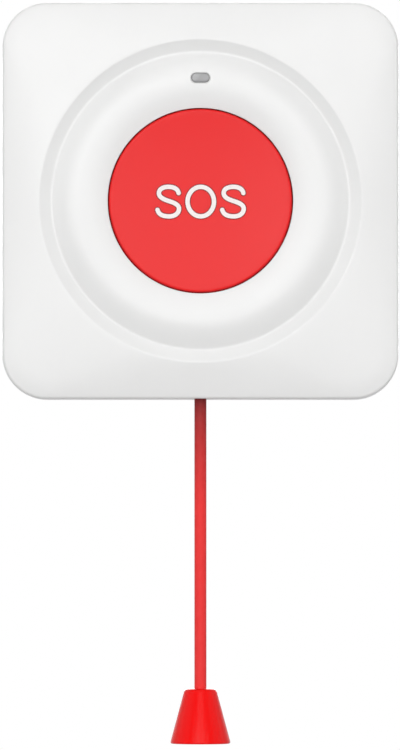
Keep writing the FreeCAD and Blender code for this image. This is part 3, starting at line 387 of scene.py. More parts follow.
def swept(points: Sequence[Vector], radii: Sequence[float], cyclic: bool = False, sides: int = 6) -> BMesh:
    """Sweep a round section along a line.

    Args:
        points: The line's points, in millimetres.
        radii: The section's radius at each point.
        cyclic: Whether the line joins up with its start.
        sides: How finely each quarter of the section is drawn.

    Returns:
        The mesh, in metres.
    """
    curve = bpy.data.curves.new("sweep", "CURVE")
    curve.dimensions = "3D"
    spline = curve.splines.new("POLY")
    spline.points.add(len(points) - 1)
    for knot, place, radius in zip(spline.points, points, radii):
        knot.co = (*(place * MM), 1)
        knot.radius = radius
    spline.use_cyclic_u = cyclic
    curve.bevel_depth = MM
    curve.bevel_resolution = sides
    curve.use_fill_caps = not cyclic
    holder = bpy.data.objects.new("sweep", curve)
    data = bpy.data.meshes.new_from_object(holder)
    mesh = bmesh.new()
    mesh.from_mesh(data)
    bpy.data.objects.remove(holder)
    bpy.data.curves.remove(curve)
    bpy.data.meshes.remove(data)
    return cleaned(mesh)


# Finishes


class Graph:
    """A tree of shader nodes that is built up by short calls."""

    def __init__(self, tree: NodeTree) -> None:
        """Work on this tree."""
        self.nodes = tree.nodes
        self.links = tree.links

    def feed(self, socket: NodeSocket, value: object) -> None:
        """Link a socket to another one, or set its own value.

        Args:
            socket: The input socket.
            value: An output socket or a plain value.
        """
        if isinstance(value, NodeSocket):
            self.links.new(value, socket)
        else:
            socket.default_value = value

    def add(self, kind: str, settings: dict[str, object] | None = None, **inputs: object) -> Node:
        """Add a node.

        Args:
            kind: The node's type name.
            settings: Its properties by name.
            **inputs: Its input sockets by name, with _ for a blank, and what feeds each.

        Returns:
            The node.
        """
        node = self.nodes.new(kind)
        for key, value in (settings or {}).items():
            setattr(node, key, value)
        for key, value in inputs.items():
            self.feed(node.inputs[key.replace("_", " ")], value)
        return node

    def maths(self, operation: str, *values: object) -> NodeSocket:
        """Work out one sum.

        Args:
            operation: The sum's name.
            *values: The sockets and numbers that go into it.

        Returns:
            The result's socket.
        """
        node = self.add("ShaderNodeMath", {"operation": operation})
        for socket, value in zip(node.inputs, values):
            self.feed(socket, value)
        return node.outputs[0]

    def between(self, factor: NodeSocket, low: float, high: float,
                start: float = 0.3, stop: float = 0.7) -> NodeSocket:
        """Spread a factor over a range of values.

        Args:
            factor: The factor.
            low: The value where the factor is at its start.
            high: The value where it is at its stop.
            start: The factor's lower end.
            stop: Its upper end.

        Returns:
            The value's socket.
        """
        node = self.add("ShaderNodeMapRange", Value=factor)
        for name, value in zip(("From Min", "From Max", "To Min", "To Max"), (start, stop, low, high)):
            node.inputs[name].default_value = value
        return node.outputs[0]

    def mixed(self, factor: NodeSocket, low: Node, high: Node) -> Node:
        """Mix two shaders.

        Args:
            factor: How much of the second one is seen, from 0 to 1.
            low: The first shader.
            high: The second one.

        Returns:
            The mixed shader.
        """
        node = self.add("ShaderNodeMixShader")
        for socket, value in zip(node.inputs, (factor, low.outputs[0], high.outputs[0])):
            self.feed(socket, value)
        return node


class Recipe(Graph):
    """The nodes of one material, built up round its principled shader."""

    def __init__(self, name: str) -> None:
        """Start a material.

        Args:
            name: Its name.
        """
        self.material = bpy.data.materials.new(name)
        self.material.use_nodes = True
        super().__init__(self.material.node_tree)
        self.shader = next(node for node in self.nodes if node.type == "BSDF_PRINCIPLED")
        self.place = self.add("ShaderNodeTexCoord").outputs["Object"]

    def surface(self, **values: object) -> None:
        """Set or link sockets of the principled shader, named with _ for a blank."""
        for key, value in values.items():
            self.feed(self.shader.inputs[key.replace("_", " ")], value)

    def axes(self) -> list[NodeSocket]:
        """Give the three Object coordinates, in metres."""
        return self.add("ShaderNodeSeparateXYZ", Vector=self.place).outputs[:]

    def noise(self, size: float, detail: float = 2.0, stretch: Triple = (1, 1, 1)) -> NodeSocket:
        """Make a noise on the Object coordinates.

        Args:
            size: About how large its lumps are, in millimetres.
            detail: How many finer layers it has.
            stretch: How its lumps are drawn out along the three axes.

        Returns:
            The noise's socket.
        """
        along = self.add("ShaderNodeMapping", Vector=self.place, Scale=tuple(1 / s for s in stretch))
        node = self.add("ShaderNodeTexNoise", Vector=along.outputs[0], Scale=1 / (size * MM), Detail=detail)
        return node.outputs["Fac"]

    def blended(self, factor: NodeSocket, low: Colour, high: Colour | NodeSocket) -> NodeSocket:
        """Blend two colours.

        Args:
            factor: How much of the second one is seen, from 0 to 1.
            low: The first colour.
            high: The second one.

        Returns:
            The blend's socket.
        """
        node = self.add("ShaderNodeMix", {"data_type": "RGBA"})
        self.feed(node.inputs[0], factor)
        for socket, value in zip(node.inputs[6:8], (low, high)):
            self.feed(socket, value if isinstance(value, NodeSocket) else (*value, 1))
        return node.outputs[2]

    def bump(self, height: NodeSocket, depth: float, under: NodeSocket | None = None) -> NodeSocket:
        """Raise the surface.

        Args:
            height: The height, from 0 to 1.
            depth: What its whole range measures, in millimetres.
            under: Another bump that this one lies on.

        Returns:
            The normal's socket.
        """
        node = self.add("ShaderNodeBump", Height=height, Distance=depth * MM, Strength=1.0)
        if under is not None:
            self.feed(node.inputs["Normal"], under)
        return node.outputs[0]


@dataclass(frozen=True)
class Plastic:
    """A moulded plastic with faint flow marks and a fine tool texture.

    Attributes:
        name: The material's name.
        colour: Its main colour.
        shade: The slightly darker tone of its flow marks.
        roughness: Its lowest and highest roughness.
        grain: The size of the tool's texture, in millimetres.
        relief: That texture's height.
        coat: How much of a clear gloss lies over it.
        translucent: How much light goes into it and comes out again.
        shine: How strongly its surface mirrors, where 0.5 is a usual plastic.
        waves: The size and the height of the faint waves in its surface.
    """

    name: str
    colour: Colour
    shade: Colour
    roughness: Pair
    grain: float
    relief: float
    coat: float = 0.0
    translucent: float = 0.0
    shine: float = 0.5
    waves: Pair = (9.0, 0.0015)

    def made(self) -> Material:
        """Build the material.

        Returns:
            The material.
        """
        recipe = Recipe(self.name)
        flow = recipe.noise(size=22.0, detail=3.0, stretch=(1, 1, 1.8))
        grain = recipe.noise(self.grain, detail=3.0)
        polish = recipe.noise(size=6.0, detail=4.0)
        waves = recipe.noise(self.waves[0], detail=1.0)
        recipe.surface(
            Base_Color=recipe.blended(recipe.between(flow, 0, 1), self.colour, self.shade),
            Roughness=recipe.between(polish, *self.roughness),
            Normal=recipe.bump(grain, self.relief, recipe.bump(waves, self.waves[1])),
            Specular_IOR_Level=self.shine,
            Coat_Weight=self.coat,
            Coat_Roughness=0.08,
            Subsurface_Weight=self.translucent,
            Subsurface_Scale=0.001,
            Subsurface_Radius=(1.0, 0.8, 0.6),
        )
        return recipe.material


@dataclass(frozen=True)
class Metal:
    """A drawn, brushed or tinned metal.

    Attributes:
        name: The material's name.
        colour: Its main colour.
        shade: The tone of its stains.
        roughness: Its lowest and highest roughness.
        stretch: How its scratches are drawn out along the three axes.
        relief: How deep the scratches are, in millimetres.
    """

    name: str
    colour: Colour
    shade: Colour
    roughness: Pair
    stretch: Triple
    relief: float

    def made(self) -> Material:
        """Build the material.

        Returns:
            The material.
        """
        recipe = Recipe(self.name)
        stain = recipe.noise(size=3.0, detail=4.0)
        scratch = recipe.noise(size=0.12, detail=3.0, stretch=self.stretch)
        wear = recipe.maths("MULTIPLY", recipe.maths("ADD", stain, scratch), 0.5)
        recipe.surface(
            Base_Color=recipe.blended(recipe.between(stain, 0, 1), self.colour, self.shade),
            Metallic=1.0,
            Roughness=recipe.between(wear, *self.roughness),
            Normal=recipe.bump(scratch, self.relief),
        )
        return recipe.material


@dataclass(frozen=True)
class Laminate:
    """A circuit board's solder mask with copper tracks showing through it.

    Attributes:
        name: The material's name.
        mask: The mask over bare laminate.
        track: The mask over copper.
        pitch: The distance from one track to the next, in millimetres.
        wander: How far the upright and the level tracks wander.
        copper: How far the tracks stand out.
    """

    name: str = "board_mask"
    mask: Colour = (0.012, 0.13, 0.045)
    track: Colour = (0.03, 0.24, 0.085)
    pitch: float = 1.6
    wander: Pair = (3.5, -5.0)
    copper: float = 0.03

    def made(self) -> Material:
        """Build the material.

        Returns:
            The material.
        """
        recipe = Recipe(self.name)
        x, _, z = recipe.axes()
        bands = []
        for axis, wander in zip((x, z), self.wander):
            bend = recipe.maths("MULTIPLY", recipe.noise(size=14.0, detail=0.0), wander * MM)
            bent = recipe.maths("ADD", axis, bend)
            wave = recipe.maths("SINE", recipe.maths("MULTIPLY", bent, TURN / (self.pitch * MM)))
            bands.append(recipe.between(wave, 0, 1, 0.1, 0.25))
        choice = recipe.between(recipe.noise(size=11.0, detail=0.0), 0, 1, 0.49, 0.51)
        across = recipe.maths("MULTIPLY", bands[0], choice)
        along = recipe.maths("MULTIPLY", bands[1], recipe.maths("SUBTRACT", 1.0, choice))
        tracks = recipe.maths("MAXIMUM", across, along)
        recipe.surface(
            Base_Color=recipe.blended(tracks, self.mask, self.track),
            Roughness=recipe.between(recipe.noise(size=2.0, detail=3.0), 0.22, 0.36),
            Normal=recipe.bump(recipe.noise(size=0.5), 0.002, recipe.bump(tracks, self.copper)),
        )
        return recipe.material


@dataclass(frozen=True)
class Braid:
    """A close braid of fine threads round the cord's line, with a painted shadow where the cord leaves the
    cover.

    Attributes:
        name: The material's name.
        crown: The colour on top of the threads.
        gap: The colour between them.
        painted_shadow: The colour of the threads just below the cover's hole, a painted shadow of the housing
            on the cord's top.
        painted_shadow_span: The heights between which that painted shadow fades out.
        carriers: How many threads lie round the cord each way.
        pitch: The height of one diamond of the braid, in millimetres.
        relief: How far the threads stand out.
    """

    name: str = "cord_braid"
    crown: Colour = (0.94, 0.032, 0.032)
    gap: Colour = (0.78, 0.018, 0.018)
    painted_shadow: Colour = (0.1, 0.004, 0.005)
    painted_shadow_span: Pair = (-41.0, -66.0)
    carriers: float = 11.0
    pitch: float = 0.62
    relief: float = 0.022

    def made(self) -> Material:
        """Build the material.

        Returns:
            The material.
        """
        recipe = Recipe(self.name)
        x, y, z = recipe.axes()
        angle = recipe.maths("ARCTAN2", recipe.maths("ADD", y, CORD_DEPTH * MM), x)
        round_the_cord = recipe.maths("MULTIPLY", angle, self.carriers / 2)
        up_the_cord = recipe.maths("MULTIPLY", z, math.pi / (self.pitch * MM))
        left, right = (recipe.maths("SINE", recipe.maths(way, round_the_cord, up_the_cord))
                       for way in ("ADD", "SUBTRACT"))
        weave = recipe.maths("ABSOLUTE", recipe.maths("MULTIPLY", left, right))
        fibre = recipe.noise(size=0.09, stretch=(1, 1, 4))
        fluff = recipe.noise(size=1.4, detail=3.0)
        threads = recipe.maths("MULTIPLY", weave, 0.75)
        tone = recipe.maths("ADD", threads, recipe.maths("MULTIPLY", fibre, 0.4))
        weave_colour = recipe.blended(recipe.between(tone, 0, 1, 0.1, 0.75), self.gap, self.crown)
        # The threads darken towards the cover's hole. This is a painted shadow that stands in for the shade
        # the housing casts on the cord's top.
        start, stop = self.painted_shadow_span
        fade = recipe.maths("POWER", recipe.between(z, 0, 1, start * MM, stop * MM), 0.7)
        recipe.surface(
            Base_Color=recipe.blended(fade, self.painted_shadow, weave_colour),
            Roughness=recipe.between(fluff, 0.62, 0.78),
            Normal=recipe.bump(fibre, 0.006, recipe.bump(weave, self.relief)),
            Sheen_Weight=0.12,
            Sheen_Roughness=0.4,
        )
        return recipe.material


@dataclass(frozen=True)
class Ink:
    """A pad-printed ink, very slightly uneven at its surface.

    Attributes:
        name: The material's name.
        colour: The ink's full colour.
        thin: Its colour where it lies thinner.
    """

    name: str = "white_print"
    colour: Colour = (0.95, 0.89, 0.88)
    thin: Colour = (0.88, 0.8, 0.79)

    def made(self) -> Material:
        """Build the material.

        Returns:
            The material.
        """
        recipe = Recipe(self.name)
        cover = recipe.noise(size=0.4, detail=3.0)
        recipe.surface(
            Base_Color=recipe.blended(recipe.between(cover, 0, 1, 0.2, 0.5), self.thin, self.colour),
            Roughness=recipe.between(cover, 0.36, 0.5),
            Normal=recipe.bump(cover, 0.002),
        )
        return recipe.material


@dataclass(frozen=True)
class SmokedWindow:
    """A smoked clear window whose colour darkens towards its rim, painted shade along the edge of its
    opening.

    Attributes:
        name: The material's name.
        middle: Its colour in the middle.
        rim: Its colour along the edge, darkened by painted shade.
        flat: Half the length of its straight sides, in millimetres.
        fade: The distances from its middle line between which the painted shade darkens it.
    """

    name: str = "smoked_window"
    middle: Colour = (0.3, 0.3, 0.305)
    rim: Colour = (0.265, 0.265, 0.27)
    flat: float = 0.95
    fade: Pair = (0.55, 0.95)

    def made(self) -> Material:
        """Build the material.

        Returns:
            The material.
        """
        recipe = Recipe(self.name)
        x, _, z = recipe.axes()
        past = recipe.maths("SUBTRACT", recipe.maths("ABSOLUTE", x), self.flat * MM)
        beyond = recipe.maths("MAXIMUM", past, 0.0)
        above = recipe.maths("SUBTRACT", z, WINDOW_HEIGHT * MM)
        squares = [recipe.maths("MULTIPLY", side, side) for side in (beyond, above)]
        reach = recipe.maths("SQRT", recipe.maths("ADD", *squares))
        # Darker towards the edge. This is painted shade along the rim of the window's opening.
        start, stop = self.fade
        rim = recipe.between(reach, 0, 1, start * MM, stop * MM)
        recipe.surface(
            Base_Color=recipe.blended(rim, self.middle, self.rim),
            Roughness=recipe.between(recipe.noise(size=0.8), 0.14, 0.2),
            Normal=recipe.bump(recipe.noise(size=1.2, detail=1.0), 0.002),
            Coat_Weight=0.1,
            Coat_Roughness=0.05,
            IOR=1.49,
        )
        return recipe.material


FINISHES = {
    "white_plastic": Plastic("white_moulding", (0.87, 0.87, 0.865), (0.855, 0.855, 0.85),
                             roughness=(0.3, 0.36), grain=0.28, relief=0.0012),
    "plate_plastic": Plastic("plate_moulding", (0.8, 0.8, 0.785), (0.77, 0.77, 0.75),
                             roughness=(0.5, 0.6), grain=0.45, relief=0.012),
    "red_plastic": Plastic("button_red", (0.87, 0.012, 0.013), (0.86, 0.011, 0.012),
                           roughness=(0.26, 0.27), grain=0.3, relief=0.0004, shine=0.19),
    "cone_plastic": Plastic("cone_red", (0.99, 0.003, 0.003), (0.975, 0.0025, 0.0025),
                            roughness=(0.18, 0.22), grain=0.4, relief=0.0006, shine=0.125),
    "cord_fibre": Braid(),
    "light_pipe": SmokedWindow(),
    "lamp": Plastic("lamp_epoxy", (0.82, 0.8, 0.66), (0.76, 0.73, 0.58),
                    roughness=(0.1, 0.16), grain=0.5, relief=0.001, coat=0.4, translucent=0.3),
    "board_laminate": Laminate(),
    "black_plastic": Plastic("black_moulding", (0.022, 0.022, 0.023), (0.03, 0.03, 0.031),
                             roughness=(0.4, 0.52), grain=0.2, relief=0.008),
    "slider_plastic": Plastic("acetal_moulding", (0.74, 0.73, 0.69), (0.69, 0.68, 0.63),
                              roughness=(0.38, 0.46), grain=0.35, relief=0.003, translucent=0.1),
    "steel": Metal("bright_steel", (0.62, 0.62, 0.63), (0.5, 0.5, 0.51), (0.18, 0.32), (1, 1, 12), 0.003),
    "tin": Metal("tinned_sheet", (0.7, 0.7, 0.71), (0.6, 0.6, 0.6), (0.24, 0.38), (10, 1, 1), 0.002),
    "brass": Metal("plain_brass", (0.78, 0.58, 0.27), (0.6, 0.42, 0.18), (0.24, 0.4), (6, 6, 1), 0.003),
    "foam_tape": Plastic("tape_liner", (0.72, 0.72, 0.69), (0.66, 0.66, 0.63),
                         roughness=(0.5, 0.62), grain=0.25, relief=0.01),
    "can_aluminium": Metal("satin_aluminium", (0.74, 0.74, 0.76), (0.66, 0.66, 0.68),
                           (0.28, 0.4), (1, 14, 1), 0.002),
}
# A dark red for the thin ring round the legend's strokes. It is painted shade that stands in for a groove
# round the letters.
PAINTED_OUTLINE = Plastic("painted_outline_red", (0.27, 0.012, 0.016), (0.24, 0.01, 0.013),
                  roughness=(0.4, 0.5), grain=0.3, relief=0.001, shine=0.2)


def settled(piece: Object, body: Body, replaces: Sequence[str] = ()) -> Object:
    """Let a piece ride on its body and hide the nodes that it stands for.

    Args:
        piece: The piece.
        body: The body that it moves with.
        replaces: The part's nodes that it stands for.

    Returns:
        The piece.
    """
    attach(piece, body.value)
    if replaces:
        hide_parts(*replaces)
    log.info("%s rides on %s and stands for %s", piece.name, body.value, ", ".join(replaces) or "no node")
    return piece


class Workshop:
    """Keeps each finish's material and turns meshes into pieces."""

    def __init__(self) -> None:
        """Build every slot's material once, and the two that only the legend has."""
        self.materials = {slot: finish.made() for slot, finish in FINISHES.items()}
        self.print = Ink().made()
        # The dark ring round the legend is painted shade of a groove.
        self.channel = PAINTED_OUTLINE.made()

    def dress_nodes(self) -> None:
        """Give each node of the part the material of its slot."""
        for row in frame["record"]["subparts"]:
            node = frame["nodes"][row["node"]]
            node.data.materials.clear()
            node.data.materials.append(self.materials[row["material_slot"]])

    def piece(self, name: str, mesh: BMesh, body: Body, slot: str, replaces: Sequence[str] = (),
              sharp: float = 40.0, finish: Material | None = None) -> Object:
        """Turn a mesh into a finished piece.

        Args:
            name: The piece's name.
            mesh: Its mesh, which is freed.
            body: The body that it moves with.
            slot: The record's material slot that it takes its finish from.
            replaces: The part's nodes that it stands for.
            sharp: The angle in degrees from which an edge stays crisp.
            finish: Its material, where that isn't its slot's.

        Returns:
            The piece.
        """
        data = stored(name, mesh)
        data.shade_smooth()
        data.set_sharp_from_angle(angle=math.radians(sharp))
        data.materials.append(finish or self.materials[slot])
        return settled(placed(name, data), body, replaces)


# Pieces


@dataclass
class FrontCover:
    """The square moulded front with its ring, its well and what stands inside it.

    Attributes:
        half: Half the cover's width.
        corner: The radius of its corners.
        reveal: The depth of its rear edge.
        side: The depth of its sides' front end.
        draft: How far its sides lean in over their depth.
        rear_edge: How far the rear edge is rounded.
        edge: How far the front edge is rounded.
        wall: The thickness of the sides and of the front next to them.
        inner_edge: How far the inside of the front edge is rounded.
        ring: The radius of the ring's outer edge.
        crown: The depth of that edge.
        bulges: How far the crown rises at each quarter of the way to that edge.
        ring_edges: How far the ring's outer edge and its valley are rounded.
        valley: The ring's valley, as radius and depth.
        crest: The ring's crest.
        well: The well's lip.
        lead: How far that lip is broken.
        ledge: The depth of the ledge that holds the button.
        collar: The inner and outer radius of the collar round the button.
        collar_ends: The depths of its rear end and of its root outside.
        vault: The depth of the inside behind the crest.
        trough: The inside behind the valley, as its two radii and its depth.
        window: The width and height of the light window's opening.
        window_cut: The depths between which it is cut.
        window_flare: The depths between which it flares.
        flare: How much further it reaches there on every side.
        keyway: The right keyway's spans across, in depth and up.
        hole: The radius of the cord's hole.
        hole_span: The heights between which it is cut.
        hole_mouth: How much wider its mouth is, and how long.
        boss_place: How far across and up the screw bosses stand.
        boss_radii: The radii of their bores and their outsides.
        boss_depths: The depths of their ends, their bores' ends and their roots.
        catch: The upper right snap catch's spans.
        rail: The right rail's spans.
        notch: The spans of the gap in that rail, where the pull switch is pressed.
        seat_radius: The radius of the slider spring's seat.
        seat: Its foot and top.
        steps: How many steps make a turn.
    """

    half: float = 43.0
    corner: float = 9.8
    reveal: float = 0.4
    side: float = 19.4
    draft: float = 0.33
    rear_edge: float = 0.12
    edge: float = 0.6
    wall: float = 2.0
    inner_edge: float = 0.5
    ring: float = 34.8
    crown: float = 21.4
    bulges: Triple = (0.05, 0.07, 0.05)
    ring_edges: Pair = (0.28, 0.5)
    valley: Pair = (32.1, 19.9)
    crest: Pair = (26.0, 22.0)
    well: Pair = (20.0, 21.0)
    lead: float = 0.04
    ledge: float = 17.0
    collar: Pair = (21.8, 23.3)
    collar_ends: Pair = (13.2, 18.9)
    vault: float = 19.5
    trough: Triple = (31.0, 33.2, 17.9)
    window: Pair = (3.98, 2.08)
    window_cut: Pair = (13.0, 23.0)
    window_flare: Pair = (21.72, 22.22)
    flare: float = 0.5
    keyway: Box = ((20.4, 24.5), (12.0, 17.0 - HAIR), (-1.6, 1.6))
    hole: float = 1.7
    hole_span: Pair = (-45.0, -36.0)
    hole_mouth: Pair = (0.35, 0.4)
    boss_place: float = 33.5
    boss_radii: Pair = (1.07, 3.2)
    boss_depths: Triple = (10.6, 17.2, 18.3)
    catch: Box = ((17.5, 26.5), (5.0, 6.5), (40.2, 41.6))
    rail: Box = ((5.5, 7.0), (10.9, 18.6), (-41.6, -22.6))
    notch: Box = ((5.0, 7.5), (12.3, 15.9), (-36.6, -20.0))
    seat_radius: float = 4.0
    seat: Pair = (-41.6, -39.8)
    steps: int = 256

    def profile(self) -> Profile:
        """Draw the wall from its rear edge, over the front and back along the inside.

        Returns:
            The profile.
        """
        outer = self.half - self.draft
        inner = self.half - self.wall
        middle = self.crest[0]
        lip = Profile().corner(self.half, self.reveal, self.rear_edge)
        lip.corner(outer, self.side, self.edge)
        for quarter, bulge in enumerate(self.bulges, start=1):
            radius = outer + (self.ring - outer) * quarter / 4
            lip.corner(radius, self.side + (self.crown - self.side) * quarter / 4 + bulge)
        lip.corner(self.ring, self.crown, self.ring_edges[0])
        lip.corner(*self.valley, self.ring_edges[1])
        lip.arc(*self.crest, middle, steps=18)
        lip.arc(self.well[0] + self.lead, self.well[1] + HAIR, middle, steps=16)
        lip.corner(self.well[0], self.well[1] - 1.5 * self.lead, 0.75 * self.lead)
        lip.corner(self.well[0], self.ledge)
        lip.corner(self.collar[0], self.ledge)
        lip.corner(self.collar[0], self.collar_ends[0])
        lip.corner(self.collar[1], self.collar_ends[0])
        lip.corner(self.collar[1], self.collar_ends[1])
        lip.arc(middle, self.vault, middle, steps=6)
        lip.arc(self.trough[0], self.trough[2], middle, steps=8)
        lip.corner(*self.trough[1:])
        lip.corner(self.ring, self.crown - self.wall)
        lip.corner(inner - self.draft, self.side - self.wall, self.inner_edge)
        return lip.corner(inner, self.reveal)

    def outline_point(self, angle: float, inset: float) -> Vector:
        """Find the point of the rounded square that belongs to an angle of the ring.

        Args:
            angle: The angle round the ring.
            inset: How far the square lies inside the cover's widest outline.

        Returns:
            The point across and up, in millimetres.
        """
        quarter = round(angle / (TURN / 4)) * TURN / 4
        local = angle - quarter
        side = math.copysign(1, local)
        corner = self.corner - inset
        flat = self.half - self.corner
        share = abs(local) / (TURN / 16)
        bend = max(share - 1, 0) * TURN / 8
        along = flat * min(share, 1) + corner * math.sin(bend)
        return Matrix.Rotation(quarter, 2) @ Vector((flat + corner * math.cos(bend), side * along))

    def squared(self, mesh: BMesh) -> BMesh:
        """Draw the round wall out to the cover's rounded square.

        Args:
            mesh: The turned wall, which is changed.

        Returns:
            The same mesh.
        """
        rim = self.half - self.draft - self.edge
        inner = self.half - self.wall
        inner_rim = inner - self.draft - self.inner_edge
        for vertex in mesh.verts:
            reach = math.hypot(vertex.co.x, vertex.co.z) / MM
            if reach < self.ring + MERGE / MM:
                continue
            outside = -vertex.co.y / MM > self.side - HAIR or reach > inner + HAIR
            limit = rim if outside else inner_rim
            angle = math.atan2(vertex.co.z, vertex.co.x)
            edge = self.outline_point(angle, self.half - max(reach, limit))
            share = min((reach - self.ring) / (limit - self.ring), 1.0)
            circle = Vector((math.cos(angle), math.sin(angle))) * self.ring
            vertex.co.x, vertex.co.z = circle.lerp(edge, share) * MM
        return mesh

    def opened(self, mesh: BMesh) -> BMesh:
        """Cut the light window, the cord's hole and the button's two keyways.

        Args:
            mesh: The wall, which is freed.

        Returns:
            The wall with its openings.
        """
        (below, above), (wider, long) = self.hole_span, self.hole_mouth
        bore = Profile().corner(0, below).corner(self.hole + wider, below)
        bore.corner(self.hole + wider, -self.half).corner(self.hole, -self.half + long)
        bore.corner(self.hole, above).corner(0, above)
        across, *depth_and_up = self.keyway
        keyways = [block(mirrored(side, across), *depth_and_up, 0) for side in (1, -1)]
        return combined(mesh, Joining.CUT, stadium(*self.window, self.window_cut),
                        stadium(*self.window, self.window_flare, self.flare),
                        turned(bore, CORD_AXIS, 64, closed=False), *keyways)

    def fittings(self) -> BMesh:
        """Stand the screw bosses, rails, spring seat and snap catches inside the cover.

        Returns:
            Their mesh.
        """
        mesh = bmesh.new()
        bore, radius = self.boss_radii
        end, bore_end, root = self.boss_depths
        for right in (1, -1):
            for up in (1, -1):
                boss = Profile().corner(bore, end, 0.15).corner(radius, end, 0.2).corner(radius, root)
                boss.corner(0, root).corner(0, bore_end).corner(bore, bore_end)
                poured(mesh, turned(boss, outward(right * self.boss_place, up * self.boss_place), 48))
                across, depth, height = self.catch
                poured(mesh, block(mirrored(right, across), depth, mirrored(up, height)))
            across, *depth_and_up = self.rail
            rail = block(mirrored(right, across), *depth_and_up)
            if right > 0:
                rail = combined(rail, Joining.CUT, block(*self.notch, 0))
            poured(mesh, rail)
        low, high = self.seat
        seat = Profile().corner(self.hole, low).corner(self.seat_radius, low)
        seat.corner(self.seat_radius, high, 0.25).corner(self.hole, high, 0.3)
        return poured(mesh, turned(seat, CORD_AXIS, 64))

    def build(self, shop: Workshop) -> None:
        """Build the cover and its fittings.

        Args:
            shop: The workshop with the materials.
        """
        shell = self.opened(self.squared(turned(self.profile(), BUTTON_AXIS, self.steps)))
        shop.piece("cover_shell", shell, Body.HOUSING, "white_plastic", ["front_cover"], sharp=30)
        shop.piece("cover_fittings", self.fittings(), Body.HOUSING, "white_plastic")


@dataclass
class LightWindow:
    """The smoked window in the ring's crest, with its flange and its stem back to the lamp.

    Attributes:
        wide: Its width.
        tall: Its height.
        face: The depth of its face.
        edge: How far that face's edge is rounded.
        seat: The depth at which its flange seats.
        flange: How far the flange reaches out on every side.
        flange_thick: The flange's thickness.
        rear: The depth of its stem's end.
    """

    wide: float = 3.9
    tall: float = 2.0
    face: float = 21.95
    edge: float = 0.14
    seat: float = 18.6
    flange: float = 1.2
    flange_thick: float = 1.0
    rear: float = 12.6

    def build(self, shop: Workshop) -> None:
        """Build the window as one moulding.

        Args:
            shop: The workshop with the materials.
        """
        stem = stadium(self.wide, self.tall, (self.rear, self.face))
        level = -(self.face - self.edge) * MM
        bevelled(stem, [edge for edge in stem.edges if all(v.co.y < level for v in edge.verts)], self.edge)
        flange = stadium(self.wide + 2 * self.flange, self.tall + 2 * self.flange,
                         (self.seat - self.flange_thick, self.seat))
        shop.piece("window_moulding", combined(stem, Joining.UNITE, flange), Body.HOUSING, "light_pipe",
                   ["light_window"])


